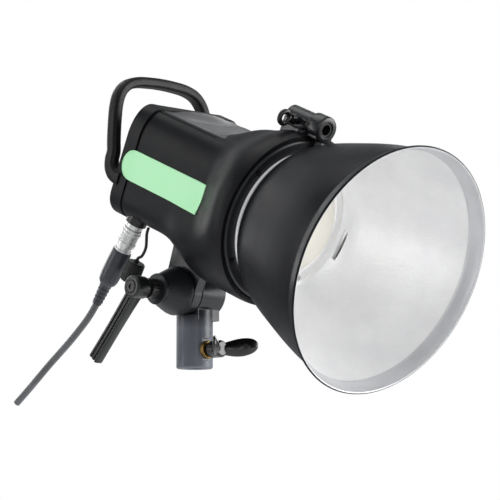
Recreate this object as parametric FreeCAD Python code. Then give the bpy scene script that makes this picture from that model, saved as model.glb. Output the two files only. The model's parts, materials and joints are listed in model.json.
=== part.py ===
import FreeCAD, Part
import math
import os
from FreeCAD import Vector

# Studio flash head with a round reflector, umbrella holder, rear control panel and handle,
# tilted nose down on a clamping stand adapter.
#
# Row frame, millimetres: origin at the centre of the stand socket's mouth, +Z up, the
# lamp faces -Y. The tilt axis runs along X.
# Head frame, before tilting: a forward along the lamp axis (-Y), s towards -X, u up from
# the tilt axis. "Left" is +s and "right" is -s, as seen from in front of the lamp.

os.makedirs("parts", exist_ok=True)

# ---------------------------------------------------------------- driving dimensions
PIVOT_Z = 58.5          # height of the tilt axis above the socket mouth
TILT_DEG = 24.0         # nose-down angle of the head

# stand adapter and tilt joint
RECEIVER_R = 14.0
RECEIVER_TOP = 40.5
SOCKET_R = 8.1          # for a 5/8 inch (15.875 mm) spigot
SOCKET_DEPTH = 36.0
LUG_R = 18.0
LUG_X0, LUG_X1 = -8.4, 17.0
CLAMP_Z = 13.8          # height of the wing screw
BUSH_R = 6.2
BUSH_BORE_R = 4.0
SCREW_R = 3.95
WASHER = 1.0
WASHER_R = 16.5
ARM_X1 = LUG_X0 - WASHER        # the head's tilt arm between its two washers
ARM_X0 = ARM_X1 - 8.0
BOLT_R = 4.0
BOLT_END_X = -47.0
CONE_X0 = ARM_X0 - WASHER
CONE_X1 = -40.0
LEVER_LEN = 71.0
LEVER_DEG = 43.0        # angle of the lever from straight down

# lamp head
AXIS_U = 83.0           # lamp axis above the tilt axis
BODY_HW = 51.0
BODY_BOTTOM, BODY_TOP = 39.8, 126.0
FLAT_HW = 36.0          # half width of the flat top panel
SHOULDER_H = 26.0       # height of the rounded upper corners
BOTTOM_CORNER_R = 15.0
WALL = 2.6
REAR_SEAM_A = -54.0
BEZEL_REAR_A = -67.0
COLLAR_R = 68.3
COLLAR_FRONT_A = 74.5
REFLECTOR_R = 94.1
SHEET = 1.0             # thickness of the reflector
UMBRELLA_U = 157.0
UMBRELLA_BORE_R = 4.1
PLUG_S, PLUG_A, PLUG_LEAN = 37.5, -44.8, 13.0
LEAD_R = 2.75

# case screws, alike everywhere
SHANK_R = 1.5
SHANK_LEN = 6.0
HEAD_R = 2.6
HEAD_H = 1.5

# screw places shared by two pieces
ARM_SCREWS = [(-20, -1), (-20, 25), (17, -1), (17, 25)]                     # a, s
UNDER_SCREWS = [(-36, -33.0), (4, -33.0), (-18, 34.0)]                      # a, s
HOLDER_SCREWS = [(68.3, 11.8), (68.3, -11.8), (51.0, 11.3), (51.0, -11.3)]  # a, s
HANDLE_SCREWS = [(49.6, 67.0), (-49.6, 67.0)]                               # s, u

ORIGIN = Vector(0, 0, 0)
X = Vector(1, 0, 0)
Y = Vector(0, 1, 0)
Z = Vector(0, 0, 1)
PIVOT = Vector(0, 0, PIVOT_Z)


# ---------------------------------------------------------------- frames and files
def point(a, s, u):
    """Point of the untilted head frame."""
    return Vector(-s, -a, PIVOT_Z + u)


def toward(a, s, u):
    """Direction or offset of the untilted head frame."""
    return Vector(-s, -a, u)


def polar(radius, degrees):
    """(s, u) at a radius and angle about the lamp axis."""
    angle = math.radians(degrees)
    return radius * math.cos(angle), AXIS_U + radius * math.sin(angle)


def circle_steps(count, radius):
    """Evenly spaced (x, y) offsets round a circle."""
    angles = [2 * math.pi * k / count for k in range(count)]
    return [(radius * math.cos(angle), radius * math.sin(angle)) for angle in angles]


def save(name, *shapes):
    solids = [solid for shape in shapes for solid in shape.Solids]
    piece = solids[0] if len(solids) == 1 else Part.makeCompound(solids)
    piece.exportStep("parts/%s.step" % name)


def save_head(name, *shapes):
    """Save a piece of the head in its tilted place."""
    tilted = [shape.copy() for shape in shapes]
    for shape in tilted:
        shape.rotate(PIVOT, X, TILT_DEG)
    save(name, *tilted)


# ---------------------------------------------------------------- solids
def cylinder(radius, start, end):
    length = end.sub(start)
    return Part.makeCylinder(radius, length.Length, start, length)


def joint_rod(radius, x0, x1, y=0.0, z=0.0):
    """Cylinder parallel to the tilt axis, offset from it by y and z."""
    return cylinder(radius, Vector(x0, y, PIVOT_Z + z), Vector(x1, y, PIVOT_Z + z))


def clamp_rod(radius, y0, y1):
    """Cylinder on the axis of the wing screw."""
    return cylinder(radius, Vector(0, y0, CLAMP_Z), Vector(0, y1, CLAMP_Z))


def socket_bore(clearance, top):
    return cylinder(SOCKET_R + clearance, Vector(0, 0, -1), Vector(0, 0, top))


def rod(radius, a0, a1, s=0.0, u=AXIS_U):
    """Cylinder along the lamp direction."""
    return cylinder(radius, point(a0, s, u), point(a1, s, u))


def ring(outer, inner, a0, a1, s=0.0, u=AXIS_U):
    return rod(outer, a0, a1, s, u).cut(rod(inner, a0 - 1, a1 + 1, s, u))


def post(radius, a, s, u0, u1):
    """Upright cylinder in the head frame."""
    return cylinder(radius, point(a, s, u0), point(a, s, u1))


def block(a0, a1, s0, s1, u0, u1):
    s0, s1 = sorted((s0, s1))
    return Part.makeBox(s1 - s0, a1 - a0, u1 - u0, Vector(-s1, -a1, PIVOT_Z + u0))


def bar(a0, a1, s, u, half_s, half_u):
    """Block centred on (s, u)."""
    return block(a0, a1, s - half_s, s + half_s, u - half_u, u + half_u)


def prism(points, direction):
    return Part.Face(Part.makePolygon(points + [points[0]])).extrude(direction)


def joint_prism(outline, x0, x1):
    """Prism along X from (y, z) points about the tilt axis."""
    return prism([Vector(x0, y, PIVOT_Z + z) for y, z in outline], Vector(x1 - x0, 0, 0))


def hex_bar(radius, start, length):
    """Hexagonal bar; radius is across the corners, length is a vector."""
    axis = Vector(length)
    axis.normalize()
    across = axis.cross(Z if abs(axis.z) < 0.9 else X)
    across.normalize()
    other = axis.cross(across)
    return prism([start + across * x + other * y for x, y in circle_steps(6, radius)], length)


def revolved(points, origin, axis):
    face = Part.Face(Part.makePolygon(points + [points[0]]))
    return face.revolve(origin, axis, 360).Solids[0]


def turned(profile, s=0.0, u=AXIS_U):
    """Solid of revolution along the lamp direction from (a, radius) points."""
    return revolved([point(a, s, u + r) for a, r in profile], point(0, s, u), toward(1, 0, 0))


def turned_on(origin, axis, profile):
    """Solid of revolution from (distance along the axis, radius) points."""
    return revolved([origin + axis * d + X * r for d, r in profile], origin, axis)


def axis_point(a, radius):
    return point(a, 0, AXIS_U + radius)


def profile_spline(profile):
    curve = Part.BSplineCurve()
    curve.interpolate([axis_point(a, r) for a, r in profile])
    return curve.toShape()


def profile_lines(profile):
    return [Part.makeLine(axis_point(*start), axis_point(*end))
            for start, end in zip(profile, profile[1:])]


def turned_edges(edges):
    """Solid of revolution about the lamp axis from the edges of a closed profile."""
    face = Part.Face(Part.Wire(Part.__sortEdges__(edges)))
    return face.revolve(point(0, 0, AXIS_U), toward(1, 0, 0), 360).Solids[0]


def closed_curve(points):
    curve = Part.BSplineCurve()
    curve.interpolate(Points=points, PeriodicFlag=True)
    return Part.Wire([curve.toShape()])


def pipe(edges, radius, start, tangent):
    profile = Part.Wire([Part.makeCircle(radius, start, tangent)])
    return Part.Wire(edges).makePipeShell([profile], True, True)


def spring(pitch, height, radius, wire_radius):
    """Coil spring standing on the origin along Z."""
    helix = Part.makeHelix(pitch, height, radius)
    return pipe(helix.Edges, wire_radius, Vector(radius, 0, 0), Y)


def swept_arcs(face, points, direction):
    """Sweep a face through the points along tangent arcs that start in the direction."""
    tangent = Vector(direction)
    tangent.normalize()
    here = Vector(points[0])
    solid = None
    for target in points[1:]:
        chord = target.sub(here)
        along = tangent.dot(chord)
        sideways = chord - tangent * along
        offset = sideways.Length
        if offset < 1e-4:
            piece = face.extrude(chord)
            face = face.copy()
            face.translate(chord)
        else:
            sideways.normalize()
            centre = here + sideways * (chord.Length ** 2 / (2 * offset))
            normal = tangent.cross(sideways)
            turn = 2 * math.degrees(math.atan2(offset, along))
            piece = face.revolve(centre, normal, turn)
            face = face.copy()
            face.rotate(centre, normal, turn)
            angle = math.radians(turn)
            tangent = tangent * math.cos(angle) + sideways * math.sin(angle)
        solid = piece if solid is None else solid.fuse(piece)
        here = Vector(target)
    return solid


def cut_all(shape, tools):
    for tool in tools:
        shape = shape.cut(tool)
    return shape


def fuse_all(shape, tools):
    for tool in tools:
        shape = shape.fuse(tool)
    return shape


def largest(shape):
    return max(shape.Solids, key=lambda solid: solid.Volume)


def in_plane(edge, axis, value, near=0.01, flat=0.01):
    """True if the edge lies in the plane where the named axis has the value."""
    box = edge.BoundBox
    return (abs(getattr(box, axis + "Min") - value) < near
            and getattr(box, axis + "Length") < flat)


def fillet(shape, radius, pick):
    """Fillet the picked edges; retry smaller, and keep them sharp if that fails too."""
    for trial in (radius, radius * 0.6, radius * 0.3):
        # guards against a radius too large for its neighbouring faces
        try:
            edges = [edge for edge in shape.Edges if pick(edge)]
            if not edges:
                return shape
            rounded = shape.makeFillet(trial, edges)
            if rounded.isValid() and rounded.Solids:
                return rounded
        except Exception:
            pass
    return shape


def chamfer(shape, size, pick):
    # guards against a chamfer that cannot be built; the edge then stays sharp
    try:
        result = shape.makeChamfer(size, [edge for edge in shape.Edges if pick(edge)])
        if result.isValid() and result.Solids:
            return result
    except Exception:
        pass
    return shape


case_screws = []


def case_screw(seat, inward):
    """Add a case screw; seat is under its head, inward a unit vector into the work."""
    shank = cylinder(SHANK_R, seat, seat + inward * SHANK_LEN)
    screw = shank.fuse(cylinder(HEAD_R, seat - inward * HEAD_H, seat))
    drive = hex_bar(HEAD_R / 2, seat - inward * (HEAD_H + 0.01), inward * (HEAD_H * 0.6))
    case_screws.append(screw.cut(drive).Solids[0])


# ---------------------------------------------------------------- body sections
def body_outline(inset):
    """(s, u) points of the body section about the lamp axis."""
    half = BODY_HW - inset
    top = BODY_TOP - AXIS_U - inset
    bottom = AXIS_U - BODY_BOTTOM - inset
    flat = FLAT_HW - inset * 0.5
    corner = max(BOTTOM_CORNER_R - inset, 2.0)
    # centre s and u, radii along s and u, start angle, steps in the quarter turn
    quarters = [
        (flat, top - SHOULDER_H, half - flat, SHOULDER_H, 0, 14),
        (-flat, top - SHOULDER_H, half - flat, SHOULDER_H, 90, 14),
        (-half + corner, -bottom + corner, corner, corner, 180, 10),
        (half - corner, -bottom + corner, corner, corner, 270, 10),
    ]
    outline = []
    for s, u, radius_s, radius_u, start, steps in quarters:
        for k in range(steps + 1):
            angle = math.radians(start + 90 * k / steps)
            outline.append((s + radius_s * math.cos(angle), u + radius_u * math.sin(angle)))
    return outline


def outline_radius(outline, angle):
    """Distance from the lamp axis to the outline (0 = +s, 90 degrees = up)."""
    ray_s, ray_u = math.cos(angle), math.sin(angle)
    farthest = 0.0
    for k, (s, u) in enumerate(outline):
        next_s, next_u = outline[(k + 1) % len(outline)]
        side_s, side_u = next_s - s, next_u - u
        cross = ray_s * side_u - ray_u * side_s
        if abs(cross) < 1e-12:
            continue
        distance = (s * side_u - u * side_s) / cross
        share = (s * ray_u - u * ray_s) / cross
        if distance > 0 and -1e-9 <= share <= 1 + 1e-9:
            farthest = max(farthest, distance)
    return farthest


def smooth(x):
    x = min(max(x, 0.0), 1.0)
    return x * x * (3 - 2 * x)


def flare(a, angle):
    """How far the outline has grown from the body section (0) to the round collar (1)."""
    height = math.sin(angle)
    side = smooth((a - 24.0) / 42.0)
    if height < 0:
        other = smooth((a + 6.0) / 34.0) ** 0.7
        blend = smooth(-height * 1.15)
    else:
        other = 0.62 * smooth((a + 4.0) / 40.0) + 0.38 * smooth((a - 30.0) / 38.0)
        blend = smooth((height - 0.72) / 0.27)
    return side * (1 - blend) + other * blend


def collar_radius(a):
    """Radius of the collar, drawn in slightly at its front."""
    if a > 66:
        return COLLAR_R - 1.2 * ((a - 66) / 8.5) ** 2
    return COLLAR_R


def section_wire(a, inset=0.0, count=56):
    outline = body_outline(inset)
    points = []
    for k in range(count):
        angle = 2 * math.pi * (k + 0.5) / count
        share = flare(a, angle)
        radius = (outline_radius(outline, angle) * (1 - share)
                  + (collar_radius(a) - inset) * share)
        points.append(point(a, radius * math.cos(angle), AXIS_U + radius * math.sin(angle)))
    return closed_curve(points)


def flared_body(a0, a1, inset=0.0, step=7.0):
    """Loft through the body sections, with wider steps where the body is straight."""
    stations = [a0]
    a = a0
    while a < a1 - step * 0.6:
        a = min(a + (step if a > -12 else 14.0), a1)
        stations.append(a)
    if stations[-1] < a1:
        stations.append(a1)
    return Part.makeLoft([section_wire(station, inset) for station in stations], True, False)


def straight_body(a0, a1, inset):
    return Part.makeLoft([section_wire(a0, inset), section_wire(a1, inset)], True, True)


# ================================================================ stand adapter
# receiver: socket barrel below, tilt lug above
receiver = cylinder(RECEIVER_R, ORIGIN, Vector(0, 0, RECEIVER_TOP + 4))
receiver = chamfer(receiver, 0.9, lambda edge: in_plane(edge, "Z", 0))
lug = joint_rod(LUG_R, LUG_X0, LUG_X1)
lug = fillet(lug, 2.2, lambda edge: in_plane(edge, "X", LUG_X1))
web = Part.makeBox(LUG_X1 - LUG_X0 - 3, 24, 16, Vector(LUG_X0 + 0.5, -12, RECEIVER_TOP - 4))
receiver = receiver.cut(Part.makeBox(40, 60, 40, Vector(LUG_X0 - 40, -30, RECEIVER_TOP)))
receiver = receiver.fuse(lug).fuse(web).removeSplitter()
receiver = receiver.cut(socket_bore(0, SOCKET_DEPTH))
receiver = receiver.cut(Part.makeCone(SOCKET_R + 1.0, SOCKET_R, 1.0, ORIGIN, Z))
receiver = receiver.cut(joint_rod(BOLT_R + 0.1, -20, 30))
receiver = receiver.cut(hex_bar(7.6, Vector(LUG_X1 - 6.0, 0, PIVOT_Z), Vector(10, 0, 0)))
receiver = receiver.cut(clamp_rod(BUSH_R, -6.0, -30))
# flat spot face round the bush
receiver = receiver.cut(Part.makeBox(18, 4, 17, Vector(-9, -17.2, CLAMP_Z - 8.5)))
save("stand_receiver", receiver)

# brass bush for the wing screw, flanged outside
BUSH_FACE_Y = -16.4
bush = clamp_rod(BUSH_R, -8.9, -16.2).fuse(clamp_rod(6.9, -13.2, BUSH_FACE_Y))
bush = bush.cut(socket_bore(0.02, 40))
bush = bush.cut(clamp_rod(BUSH_BORE_R, -5, -20))
bush = chamfer(bush, 0.5, lambda edge: in_plane(edge, "Y", BUSH_FACE_Y)
               and edge.BoundBox.ZLength > 13)
save("brass_insert", bush)

# clamp shoe: non-rotating pad at the tip of the wing screw
shoe = clamp_rod(3.9, -8.45, -10.6)
shoe = shoe.cut(socket_bore(0.05, 40))
shoe = shoe.cut(clamp_rod(1.6, -9.6, -12))
save("clamp_shoe", shoe)

# wing screw: shank with a pilot tip and ring grooves for the thread
shank = clamp_rod(SCREW_R, -10.65, -26)
shank = shank.fuse(clamp_rod(1.5, -9.65, -11))
for k in range(7):
    y = -12.2 - k * 1.25
    groove = clamp_rod(SCREW_R + 1, y, y - 0.45).cut(clamp_rod(SCREW_R - 0.45, y, y - 0.45))
    shank = shank.cut(groove)
save("wing_screw", shank)

# wing knob: hub and two swept ears
WING_DEG = 43.0         # how far the ears sweep away from the receiver
HUB_END_Y = -30.5
# distance along the ear, half height, half thickness, lift
EAR_STATIONS = [
    (2.0, 4.0, 3.4, 0.0), (8.0, 5.2, 3.0, 0.2), (15.0, 6.6, 2.5, 0.8), (22.0, 6.8, 2.2, 1.6),
    (28.0, 5.4, 1.9, 2.4), (31.0, 3.2, 1.3, 2.8), (32.0, 1.3, 0.6, 3.0),
]


def wing_ear(side):
    sweep = math.radians(WING_DEG)
    outward = Vector(side * math.cos(sweep), -math.sin(sweep), 0)
    normal = Vector(-outward.y, outward.x, 0) * side
    wires = []
    for distance, half_height, half_thick, lift in EAR_STATIONS:
        centre = Vector(0, -23.5, CLAMP_Z) + outward * distance + Vector(0, 0, lift)
        points = []
        for x, y in circle_steps(16, 1.0):
            # fuller on the side away from the receiver
            swell = 0.9 * x * x if x < 0 and 5 < distance < 30 else 0
            points.append(centre + normal * ((half_thick + swell) * x)
                          + Vector(0, 0, half_height * y))
        wires.append(closed_curve(points))
    return Part.makeLoft(wires, True, False)


hub = clamp_rod(6.6, -19.6, HUB_END_Y)
hub = fillet(hub, 2.0, lambda edge: in_plane(edge, "Y", HUB_END_Y))
wing = hub.fuse(wing_ear(1)).fuse(wing_ear(-1))
wing = wing.cut(clamp_rod(SCREW_R, -19, -26))
save("wing_knob", wing)

# ================================================================ tilt joint
bolt_head = hex_bar(7.5, Vector(LUG_X1 - 5.95, 0, PIVOT_Z), Vector(5.2, 0, 0))
save("tilt_bolt", joint_rod(BOLT_R, LUG_X1 - 5.0, BOLT_END_X).fuse(bolt_head))

# washers on both sides of the tilt arm
save("friction_washers", *[
    joint_rod(WASHER_R, x0, x1).cut(joint_rod(BOLT_R + 0.1, x0, x1))
    for x0, x1 in ((LUG_X0, ARM_X1), (ARM_X0, CONE_X0))])

# clamp cone between washer and lever
CONE_PROFILE = [        # x, radius
    (CONE_X0, 0.0), (CONE_X0, 18.3), (CONE_X0 - 2.2, 18.9), (CONE_X0 - 5.0, 18.2),
    (CONE_X0 - 12.0, 15.2), (CONE_X1 + 2.0, 11.6), (CONE_X1 + 1.2, 11.9),
    (CONE_X1 - 0.4, 11.9), (CONE_X1 - 1.0, 11.2), (CONE_X1 - 1.0, 0.0),
]
cone = revolved([Vector(x, 0, PIVOT_Z + r) for x, r in CONE_PROFILE], PIVOT, X)
save("clamp_cone", cone.cut(joint_rod(BOLT_R + 0.1, 0, -60)))

# splined insert on the bolt; the lever slides on it
INSERT_X0 = CONE_X1 - 1.0
INSERT_STEP_X = -50.0
INSERT_X1 = -56.0
SPLINE_R = 5.2
BORE_R = SPLINE_R + 0.15
insert = joint_rod(7.6, INSERT_X0, INSERT_STEP_X)
insert = insert.fuse(joint_rod(SPLINE_R, INSERT_STEP_X, INSERT_X1))
insert = cut_all(insert, [joint_rod(0.55, INSERT_STEP_X, INSERT_STEP_X - 12, y, z)
                          for y, z in circle_steps(12, SPLINE_R)])
insert = insert.cut(joint_rod(BOLT_R, -38, BOLT_END_X))
insert = insert.cut(joint_rod(2.0, INSERT_STEP_X, -62))
insert = cut_all(insert, [joint_rod(0.7, INSERT_X0 - 1, INSERT_X0 - 8, y, z)
                          for y, z in circle_steps(16, 7.9)])
save("lever_insert", insert)

# lever: boss on the insert, tapering arm with two grooves on its outer face
BOSS_X0, BOSS_X1 = -53.4, -66.4
# distance along the lever, half width, inner x, outer x
LEVER_STATIONS = [
    (2.0, 5.5, -54.3, -63.4), (12.0, 5.1, -54.6, -63.0), (30.0, 4.8, -55.0, -62.5),
    (52.0, 4.75, -55.0, -62.2), (LEVER_LEN, 4.95, -55.0, -62.2),
]
lever_angle = math.radians(LEVER_DEG)
lever_dir = Vector(0, math.sin(lever_angle), -math.cos(lever_angle))
lever_side = Vector(0, lever_dir.z, -lever_dir.y)
wires = []
for distance, half_width, inner_x, outer_x in LEVER_STATIONS:
    centre = PIVOT + lever_dir * distance
    corners = [centre + Vector(x, 0, 0) + lever_side * (half_width * sign)
               for x, sign in ((inner_x, -1), (outer_x, -1), (outer_x, 1), (inner_x, 1))]
    wires.append(Part.makePolygon(corners + [corners[0]]))
lever_arm = Part.makeLoft(wires, True, False)
lever_arm = fillet(lever_arm, 1.3, lambda edge: edge.Length > 40)
lever = joint_rod(8.4, BOSS_X0, BOSS_X1).fuse(lever_arm)
lever = fillet(lever, 1.2, lambda edge: in_plane(edge, "X", BOSS_X1))
for offset in (-1.9, 1.9):
    groove = Part.makeBox(1.4, 1.5, LEVER_LEN - 22)
    groove.translate(Vector(-0.7, -0.75, 0))
    # built along +Z, laid along the lever
    groove.rotate(ORIGIN, X, -(180 - LEVER_DEG))
    groove.translate(PIVOT + lever_dir * 14 + lever_side * offset + Vector(-62.4, 0, 0))
    lever = lever.cut(groove)
lever = lever.cut(joint_rod(BORE_R, -50, -57.0))
lever = lever.cut(joint_rod(2.3, -50, -68))
lever = lever.cut(joint_rod(5.1, -59.0, -68))
# splines that key into the insert
lever = fuse_all(lever, [joint_rod(0.42, BOSS_X0, INSERT_X1 + 0.2, y, z)
                         for y, z in circle_steps(12, BORE_R)])
save("clamp_lever", lever.removeSplitter())

# retaining screw, with a spring between its head and the lever floor
SCREW_SEAT_X, SCREW_TOP_X = -65.2, -67.0
lever_screw = joint_rod(2.0, INSERT_STEP_X, SCREW_SEAT_X)
lever_screw = lever_screw.fuse(joint_rod(4.7, SCREW_SEAT_X, SCREW_TOP_X))
lever_screw = lever_screw.cut(hex_bar(2.2, Vector(-66.0, 0, PIVOT_Z), Vector(-2, 0, 0)))
lever_screw = fillet(lever_screw, 0.6, lambda edge: in_plane(edge, "X", SCREW_TOP_X)
                     and edge.BoundBox.YLength > 9)
save("lever_screw", lever_screw)
lever_spring = spring(pitch=1.3, height=5.2, radius=3.6, wire_radius=0.35)
lever_spring.rotate(ORIGIN, Y, -90)
lever_spring.translate(Vector(-59.5, 0, PIVOT_Z))
save("lever_spring", lever_spring)

# ================================================================ arm and chassis
PLATE_U0, PLATE_U1 = 43.2, 46.2         # base plate of the tilt arm; the chassis lies on it
FLOOR_U1 = PLATE_U1 + 2.0
ARM_SEAT_U = PLATE_U0 + 1.5             # seat of the screws through the base plate
UNDER_SEAT_U = 41.3                     # seat of the screws in the housing floor

# tilt arm: disc on the tilt axis, tapering neck, base plate inside the housing
neck = joint_prism([(17.2, 5.0), (-17.2, 5.0), (-19.5, PLATE_U1), (21.0, PLATE_U1)],
                   ARM_X1, ARM_X0)
plate = block(-24, 21, -14, 30, PLATE_U0, PLATE_U1)
tilt_arm = joint_rod(LUG_R, ARM_X1, ARM_X0).fuse(neck).fuse(plate).removeSplitter()
tilt_arm = fillet(tilt_arm, 1.2, lambda edge: edge.BoundBox.ZMax < PIVOT_Z + 40
                  and in_plane(edge, "X", ARM_X0))
tilt_arm = tilt_arm.cut(joint_rod(BOLT_R + 0.06, 0, -30))
tilt_arm = cut_all(tilt_arm, [post(SHANK_R, a, s, 42, 50) for a, s in ARM_SCREWS])
tilt_arm = cut_all(tilt_arm, [post(HEAD_R, a, s, 42, ARM_SEAT_U) for a, s in ARM_SCREWS])
for a, s in ARM_SCREWS:
    case_screw(point(a, s, ARM_SEAT_U), Z)
save_head("tilt_arm", tilt_arm)

# power connector axis: it leaves the floor downwards, leaning to the rear
plug_angle = math.radians(PLUG_LEAN)
PLUG_DIR = toward(-math.sin(plug_angle), 0, -math.cos(plug_angle))
PLUG_SEAT = point(PLUG_A, PLUG_S, 41.0)


def beside(axis, x, y):
    """Offset square to an axis that lies in the YZ plane."""
    return X * x + axis.cross(X) * y


def plug_rod(radius, start, end, x=0.0, y=0.0):
    """Cylinder along the connector axis; distances are measured from its seat."""
    origin = PLUG_SEAT + beside(PLUG_DIR, x, y)
    return cylinder(radius, origin + PLUG_DIR * start, origin + PLUG_DIR * end)


# chassis: floor, front bulkhead and two rear flanges
chassis = block(-50, 50, -44, 44, PLATE_U1, FLOOR_U1)
chassis = chassis.fuse(block(48, 50, -44, 44, PLATE_U1, 120))
rear_flanges = block(-50, -48.4, -44, -36, PLATE_U1, 112)
rear_flanges = rear_flanges.fuse(block(-50, -48.4, 36, 44, PLATE_U1, 112))
chassis = chassis.fuse(rear_flanges)
chassis = chassis.cut(rod(14.0, 46, 52))
chassis = cut_all(chassis, [rod(2.1, 46, 52, s, u)
                            for s, u in ((-36, 60), (36, 60), (-36, 108), (36, 108))])
chassis = cut_all(chassis, [post(SHANK_R, a, s, 46, 49) for a, s in ARM_SCREWS])
chassis = chassis.cut(plug_rod(9.4, -30, 10))


def bulkhead_corner(edge):
    """Short edges along Y at the top of the bulkhead."""
    box = edge.BoundBox
    return (abs(box.YLength - 2) < 0.01 and box.XLength < 0.01
            and box.ZLength < 0.01 and box.ZMax > PIVOT_Z + 119)


chassis = fillet(chassis, 8.0, bulkhead_corner)
chassis = cut_all(chassis, [post(SHANK_R, a, s, 40, 50) for a, s in UNDER_SCREWS])
save_head("chassis", chassis)

# ================================================================ housing
RING_SEAT_A = 64.0              # rear of the front ring in the collar
WINDOW_HALF = 3.2               # half height of the release window
BADGE_U, BADGE_R = 80.4, 11.8   # middle height and half height of the side badges
BADGE_REAR_A, BADGE_FRONT_A = -65.0, 32.0


def cover_outline(half_width, back):
    """Top cover from above: straight sides, front edge bowed to the rear in the middle."""
    points = [point(-60, -half_width, 160)]
    for k in range(17):
        s = -half_width + 2 * half_width * k / 16
        points.append(point(3.0 + 17.0 * (s / FLAT_HW) ** 2 - back, s, 160))
    return points + [point(-60, half_width, 160)]


def badge_outline(s, grow=0.0):
    """Side badge: square front end, half-round rear end."""
    radius = BADGE_R + grow
    points = [point(BADGE_FRONT_A + grow, s, BADGE_U - radius),
              point(BADGE_FRONT_A + grow, s, BADGE_U + radius)]
    for k in range(13):
        angle = math.pi / 2 + math.pi * k / 12
        points.append(point(BADGE_REAR_A + BADGE_R + radius * math.cos(angle), s,
                            BADGE_U + radius * math.sin(angle)))
    return points


def badge_recess(side, outer_s, depth, spare_a0, spare_a1):
    """Badge cutter reaching inwards from outer_s, left out between the spare limits."""
    cutter = prism(badge_outline(side * outer_s), toward(0, -side * depth, 0))
    return cutter.cut(block(spare_a0, spare_a1, 0, side * 90, 0, 170))


outer_body = flared_body(REAR_SEAM_A, COLLAR_FRONT_A)
shell = outer_body.cut(flared_body(REAR_SEAM_A - 1, 66.0, WALL))
shell = shell.cut(rod(64.2, RING_SEAT_A, 80.0))

# top cover, parted from the shell by a narrow gap
cover_cutter = prism(cover_outline(FLAT_HW, 0.0), toward(0, 0, -48))
top_cover = largest(shell.common(cover_cutter))
shell = shell.cut(cover_cutter)
top_cover = top_cover.common(prism(cover_outline(FLAT_HW - 0.45, 0.45), toward(0, 0, -48)))
save_head("top_cover", largest(top_cover))

# one long groove on each shoulder
for side in (1, -1):
    shell = shell.cut(block(REAR_SEAM_A - 1, 15, side * 39.4, side * 40.4, 123.0, 130))
# slot in the floor for the tilt arm's neck
shell = shell.cut(joint_prism([(18.0, 0.0), (-18.6, 0.0), (-20.4, 46.0), (21.8, 46.0)],
                              ARM_X1 + 0.4, ARM_X0 - 0.4))
# window of the bayonet release on the right side
shell = shell.cut(bar(52.0, 64.0, -67, AXIS_U, 7, WINDOW_HALF))

# halves: power connector opening on the left, seven low slots on the right
left = shell.cut(block(-80, 90, -90, 0, 0, 170))
right = shell.cut(block(-80, 90, 0, 90, 0, 170))
right = cut_all(right, [block(a, a + 4.0, -60, -40, 51.0, 53.0)
                        for a in (-38 + 8.0 * k for k in range(7))])
left = left.cut(plug_rod(8.6, -12, 20))
left = left.cut(badge_recess(1, BODY_HW + 9, 10.4, -90, REAR_SEAM_A - 0.01))
right = right.cut(badge_recess(-1, BODY_HW + 9, 10.4, -90, REAR_SEAM_A - 0.01))
for a, s in UNDER_SCREWS:
    holes = [post(HEAD_R + 0.05, a, s, 30, UNDER_SEAT_U), post(SHANK_R, a, s, 30, 47)]
    if s > 0:
        left = cut_all(left, holes)
    else:
        right = cut_all(right, holes)
    case_screw(point(a, s, UNDER_SEAT_U), Z)
holder_holes = [post(SHANK_R, a, s, 130, 160) for a, s in HOLDER_SCREWS]
save_head("housing_left", cut_all(left, holder_holes))
save_head("housing_right", cut_all(right, holder_holes))

# ================================================================ bayonet
LIP_R, CHAMBER_R = 47.3, 50.2
LUG_HALF = 17.0         # half angle of a bayonet lug, degrees
TWIST = 35.0            # from lug to notch, degrees
LOCK_S = -48.5          # place of the release pin


def sector(a, centre, half, depth):
    """Wedge about the lamp axis, angles in degrees."""
    rim = [point(a, *polar(60, centre + j * half / 3)) for j in range(-3, 4)]
    return prism([point(a, 0, AXIS_U)] + rim, toward(depth, 0, 0))


# front face of the collar, with four screw holes
front_ring = turned([
    (RING_SEAT_A, 55.0), (RING_SEAT_A, 64.0), (73.0, 64.0), (74.6, 63.0), (75.2, 61.8),
    (75.2, 50.6), (72.0, 50.6), (72.0, 54.2), (66.0, 54.2), (66.0, 55.0)])
front_ring = front_ring.cut(bar(60, 67.0, -62, AXIS_U, 12, WINDOW_HALF))
for degrees in (35, 145, 215, 325):
    s, u = polar(58.3, degrees)
    front_ring = front_ring.cut(rod(2.6, 73.6, 80, s, u)).cut(rod(1.3, 65, 80, s, u))
save_head("front_ring", front_ring)

# bayonet ring: lip with three notches in front of a lug chamber
bayonet = turned([(66.0, LIP_R), (66.0, 54.15), (71.95, 54.15), (71.95, 50.55),
                  (74.9, 50.55), (74.9, LIP_R)])
bayonet = bayonet.cut(rod(CHAMBER_R, 68.8, 71.9).cut(rod(LIP_R - 3, 60, 80)))
for k in range(3):
    notch = sector(71.8, 90 + 120 * k + TWIST, LUG_HALF + 1.5, 4)
    bayonet = bayonet.cut(notch.common(rod(CHAMBER_R, 71.8, 76.0)))
bayonet = bayonet.cut(rod(1.36, 60, 80, LOCK_S))
bayonet = bayonet.cut(bar(60, 68.8, -51, AXIS_U, 5, 2.1))
save_head("bayonet_ring", bayonet)

# release slider: thumb pad outside, web through the window, pin into the flange
slider = block(54.0, 61.0, -71.6, -68.9, AXIS_U - 4.6, AXIS_U + 4.6)
slider = cut_all(slider, [block(a, a + 0.8, -72, -71.1, AXIS_U - 5, AXIS_U + 5)
                          for a in (55.2, 57.2, 59.2)])
slider = slider.fuse(block(56.0, 59.0, -69.2, -46.0, AXIS_U - 1.9, AXIS_U + 1.9))
slider = slider.fuse(rod(1.3, 56.5, 75.7, LOCK_S))
save_head("lock_slider", slider)
lock_spring = spring(pitch=1.5, height=6.0, radius=1.2, wire_radius=0.3)
lock_spring.rotate(ORIGIN, X, -90)      # along +Y, rearward
lock_spring.translate(point(55.7, LOCK_S, AXIS_U))
save_head("lock_spring", lock_spring)

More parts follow.
